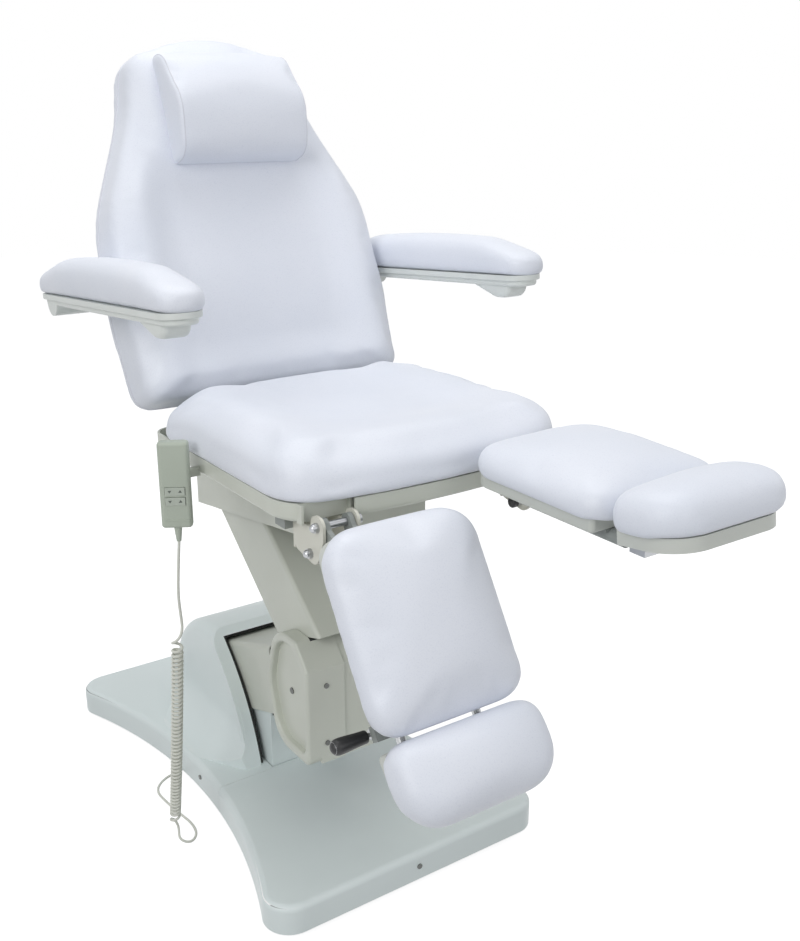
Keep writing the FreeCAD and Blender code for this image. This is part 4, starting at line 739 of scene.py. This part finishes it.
def lock_cap(side):
    """Moulded cap pushed on the inner end of the bolt that locks a leg rest."""
    hinge_bolt_low = 0.742
    radius = 0.0094
    depth = 0.008
    crown = 0.004
    bolts = spots(nodes["leg_hinge_bolts"].data)
    sign = 1 if side == "left" else -1
    low = bolts[(bolts[:, 0] * sign > 0) & (bolts[:, 2] < hinge_bolt_low)]
    end = low[np.argmin(np.abs(low[:, 0])), 0]
    middle = (low.min(axis=0) + low.max(axis=0)) / 2
    profile = [(-0.0005, radius - 0.0012), (0.0005, radius), (depth, radius)]
    for k in range(1, 7):
        a = math.pi / 2 * k / 7
        profile.append((depth + crown * math.sin(a), radius * math.cos(a)))
    turned("lock_bolt_cap_" + side, "seat", profile, end, sign, middle[1:])


leg_facing = {"left": (0, 0, 1), "right": (0, -0.85, 0.53)}
for leg_side in ("left", "right"):
    dress(frame_paint, "calf_frame_" + leg_side)
    dress(leg_plastic, "calf_tray_" + leg_side, "foot_tray_" + leg_side)
    dress(screw_steel, "foot_slider_" + leg_side, "clamp_lever_" + leg_side)
    lever_grip(leg_side)
    lock_cap(leg_side)
    upholster(
        "calf_pad_" + leg_side, "leg_" + leg_side, leg_facing[leg_side], 0.013, leg_form,
        easing=5, hem=0.006)
    upholster(
        "foot_pad_" + leg_side, "foot_" + leg_side, leg_facing[leg_side], 0.013, leg_form,
        easing=6, hem=0.012)


# Handset: a slim moulded case with two rocker keys, hung on a hook of the
# seat tray. Its curly cord leaves a tapered relief, hangs to the floor, makes
# a small loop there and goes in under the base.

handset_plastic = finish_of(
    "grey_handset_plastic", tone(187, 195, 181), cloud=tone(181, 189, 175), worn_and_sheen=tone(204, 210, 199),
    wear_and_sheen=0.5, depth=0.16, gloss=(0.38, 0.5))
key_plastic = finish_of(
    "light_key_plastic", tone(190, 197, 185), cloud=tone(184, 191, 179), worn_and_sheen=tone(206, 211, 202),
    wear_and_sheen=0.5, depth=0.12, gloss=(0.34, 0.46))
mark_print = finish_of(
    "dark_key_print", tone(84, 92, 84), cloud=tone(78, 86, 78), worn_and_sheen=tone(110, 116, 110),
    wear_and_sheen=0.3, depth=0.1, gloss=(0.42, 0.54))
cord_jacket = finish_of(
    "grey_cord_jacket", tone(230, 231, 221), cloud=tone(224, 225, 215), worn_and_sheen=tone(236, 237, 228),
    wear_and_sheen=0.3, depth=0.14, gloss=(0.42, 0.54))
dress(handset_plastic, "handset_body")
dress(key_plastic, "handset_key_back", "handset_key_lift")


def key_marks(key):
    """Raised arrow on each half of a rocker key, up on one half and down on the other."""
    turn = math.radians(-30)
    apart = 0.0085
    arrow = ((0.0, 0.0027), (-0.0031, -0.0019), (0.0031, -0.0019))
    right = np.array((math.cos(turn), math.sin(turn), 0))
    out = np.array((math.sin(turn), -math.cos(turn), 0))
    shape = spots(nodes["handset_key_" + key].data)
    face = (shape @ out).max()
    middle = ((shape @ right).min() + (shape @ right).max()) / 2
    height = (shape[:, 2].min() + shape[:, 2].max()) / 2
    for way, label in ((-1, "down"), (1, "up")):
        rings = []
        for depth, spread in ((-0.0014, 1.0), (-0.0003, 1.0), (-0.0001, 0.8)):
            ring = []
            for dx, dz in arrow:
                place = right * (middle + way * apart + dx * spread) + out * (face + depth)
                ring.append((place[0], place[1], height + way * dz * spread))
            rings.append(ring)
        moulded("key_mark_%s_%s" % (key, label), rings, mark_print, "key_" + key)


key_marks("back")
key_marks("lift")


def line_of(curve_object):
    """Points along a curve that has no thickness."""
    graph = bpy.context.evaluated_depsgraph_get()
    mesh = bpy.data.meshes.new_from_object(curve_object.evaluated_get(graph))
    out = spots(mesh)
    bpy.data.meshes.remove(mesh)
    return out


lead_points = [
    (-0.3130, -0.2313, 0.6637), (-0.3170, -0.2293, 0.6142), (-0.3190, -0.2253, 0.5617),
    (-0.3230, -0.2233, 0.5137)]
coil_points = [(-0.3230, -0.2233, 0.5137), (-0.3270, -0.2023, 0.2926), (-0.3110, -0.1113, 0.0275)]
tail_points = [
    (-0.3110, -0.1113, 0.0275), (-0.3080, -0.1233, 0.0125), (-0.2890, -0.1333, 0.0035),
    (-0.2670, -0.1153, 0.0035), (-0.2610, -0.0773, 0.0035), (-0.2690, -0.0313, 0.0035),
    (-0.2750, 0.0207, 0.0035), (-0.2770, 0.0647, 0.0035), (-0.2470, 0.0967, 0.0035),
    (-0.1994, 0.1047, 0.0035), (-0.1754, 0.1067, 0.0215), (-0.1510, 0.1067, 0.0295)]
cord_radius = 0.0025
coil_radius = 0.0083
coil_turns = 48
points_per_turn = 14
end_pace = 15
pace_fade = 2
slope_reach = 0.01

coil_guide = smooth_line("coil_guide", coil_points, 0.0)
guide = line_of(coil_guide)
bpy.data.objects.remove(coil_guide)
guide_reach = np.concatenate([[0], np.cumsum(np.linalg.norm(np.diff(guide, axis=0), axis=1))])


def on_guide(distance):
    """Place on the coil's middle line at a distance from its top."""
    return np.array([np.interp(distance, guide_reach, guide[:, axis]) for axis in range(3)])


# The turns are drawn out at both ends of the coil, where it runs into the straight cord.
coil_angle = np.arange(coil_turns * points_per_turn + 1) * 2 * math.pi / points_per_turn
top_pace = end_pace * np.exp(-coil_angle / pace_fade)
foot_pace = end_pace * np.exp((coil_angle - coil_angle[-1]) / pace_fade)
coil_pace = 1 + top_pace + foot_pace
coil_part = np.concatenate([[0], np.cumsum((coil_pace[1:] + coil_pace[:-1]) / 2)])
coil_part /= coil_part[-1]
cord_points = list(lead_points[:-1])
for part, angle in zip(coil_part, coil_angle):
    down = part * guide_reach[-1]
    slope = on_guide(down + slope_reach) - on_guide(down - slope_reach)
    tangent = slope / np.linalg.norm(slope)
    first = np.cross(tangent, (0, 1, 0))
    first /= np.linalg.norm(first)
    second = np.cross(tangent, first)
    outward = math.cos(angle) * first + math.sin(angle) * second
    cord_points.append(tuple(on_guide(down) + coil_radius * outward))
cord_points += tail_points[1:]

cord_curve = smooth_line("handset_curly_cord_line", cord_points, 0.0)
cord_line = line_of(cord_curve)
cord_curve.data.bevel_depth = cord_radius
cord_graph = bpy.context.evaluated_depsgraph_get()
cord_mesh = bpy.data.meshes.new_from_object(cord_curve.evaluated_get(cord_graph))
bpy.data.objects.remove(cord_curve)
cord_mesh.materials.clear()
cord_mesh.materials.append(cord_jacket)
cord_mesh.polygons.foreach_set("use_smooth", [True] * len(cord_mesh.polygons))
curly_cord = bpy.data.objects.new("handset_curly_cord", cord_mesh)
scene.collection.objects.link(curly_cord)
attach(curly_cord, "seat")
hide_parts("handset_cord", "handset_coil")
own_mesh(curly_cord)
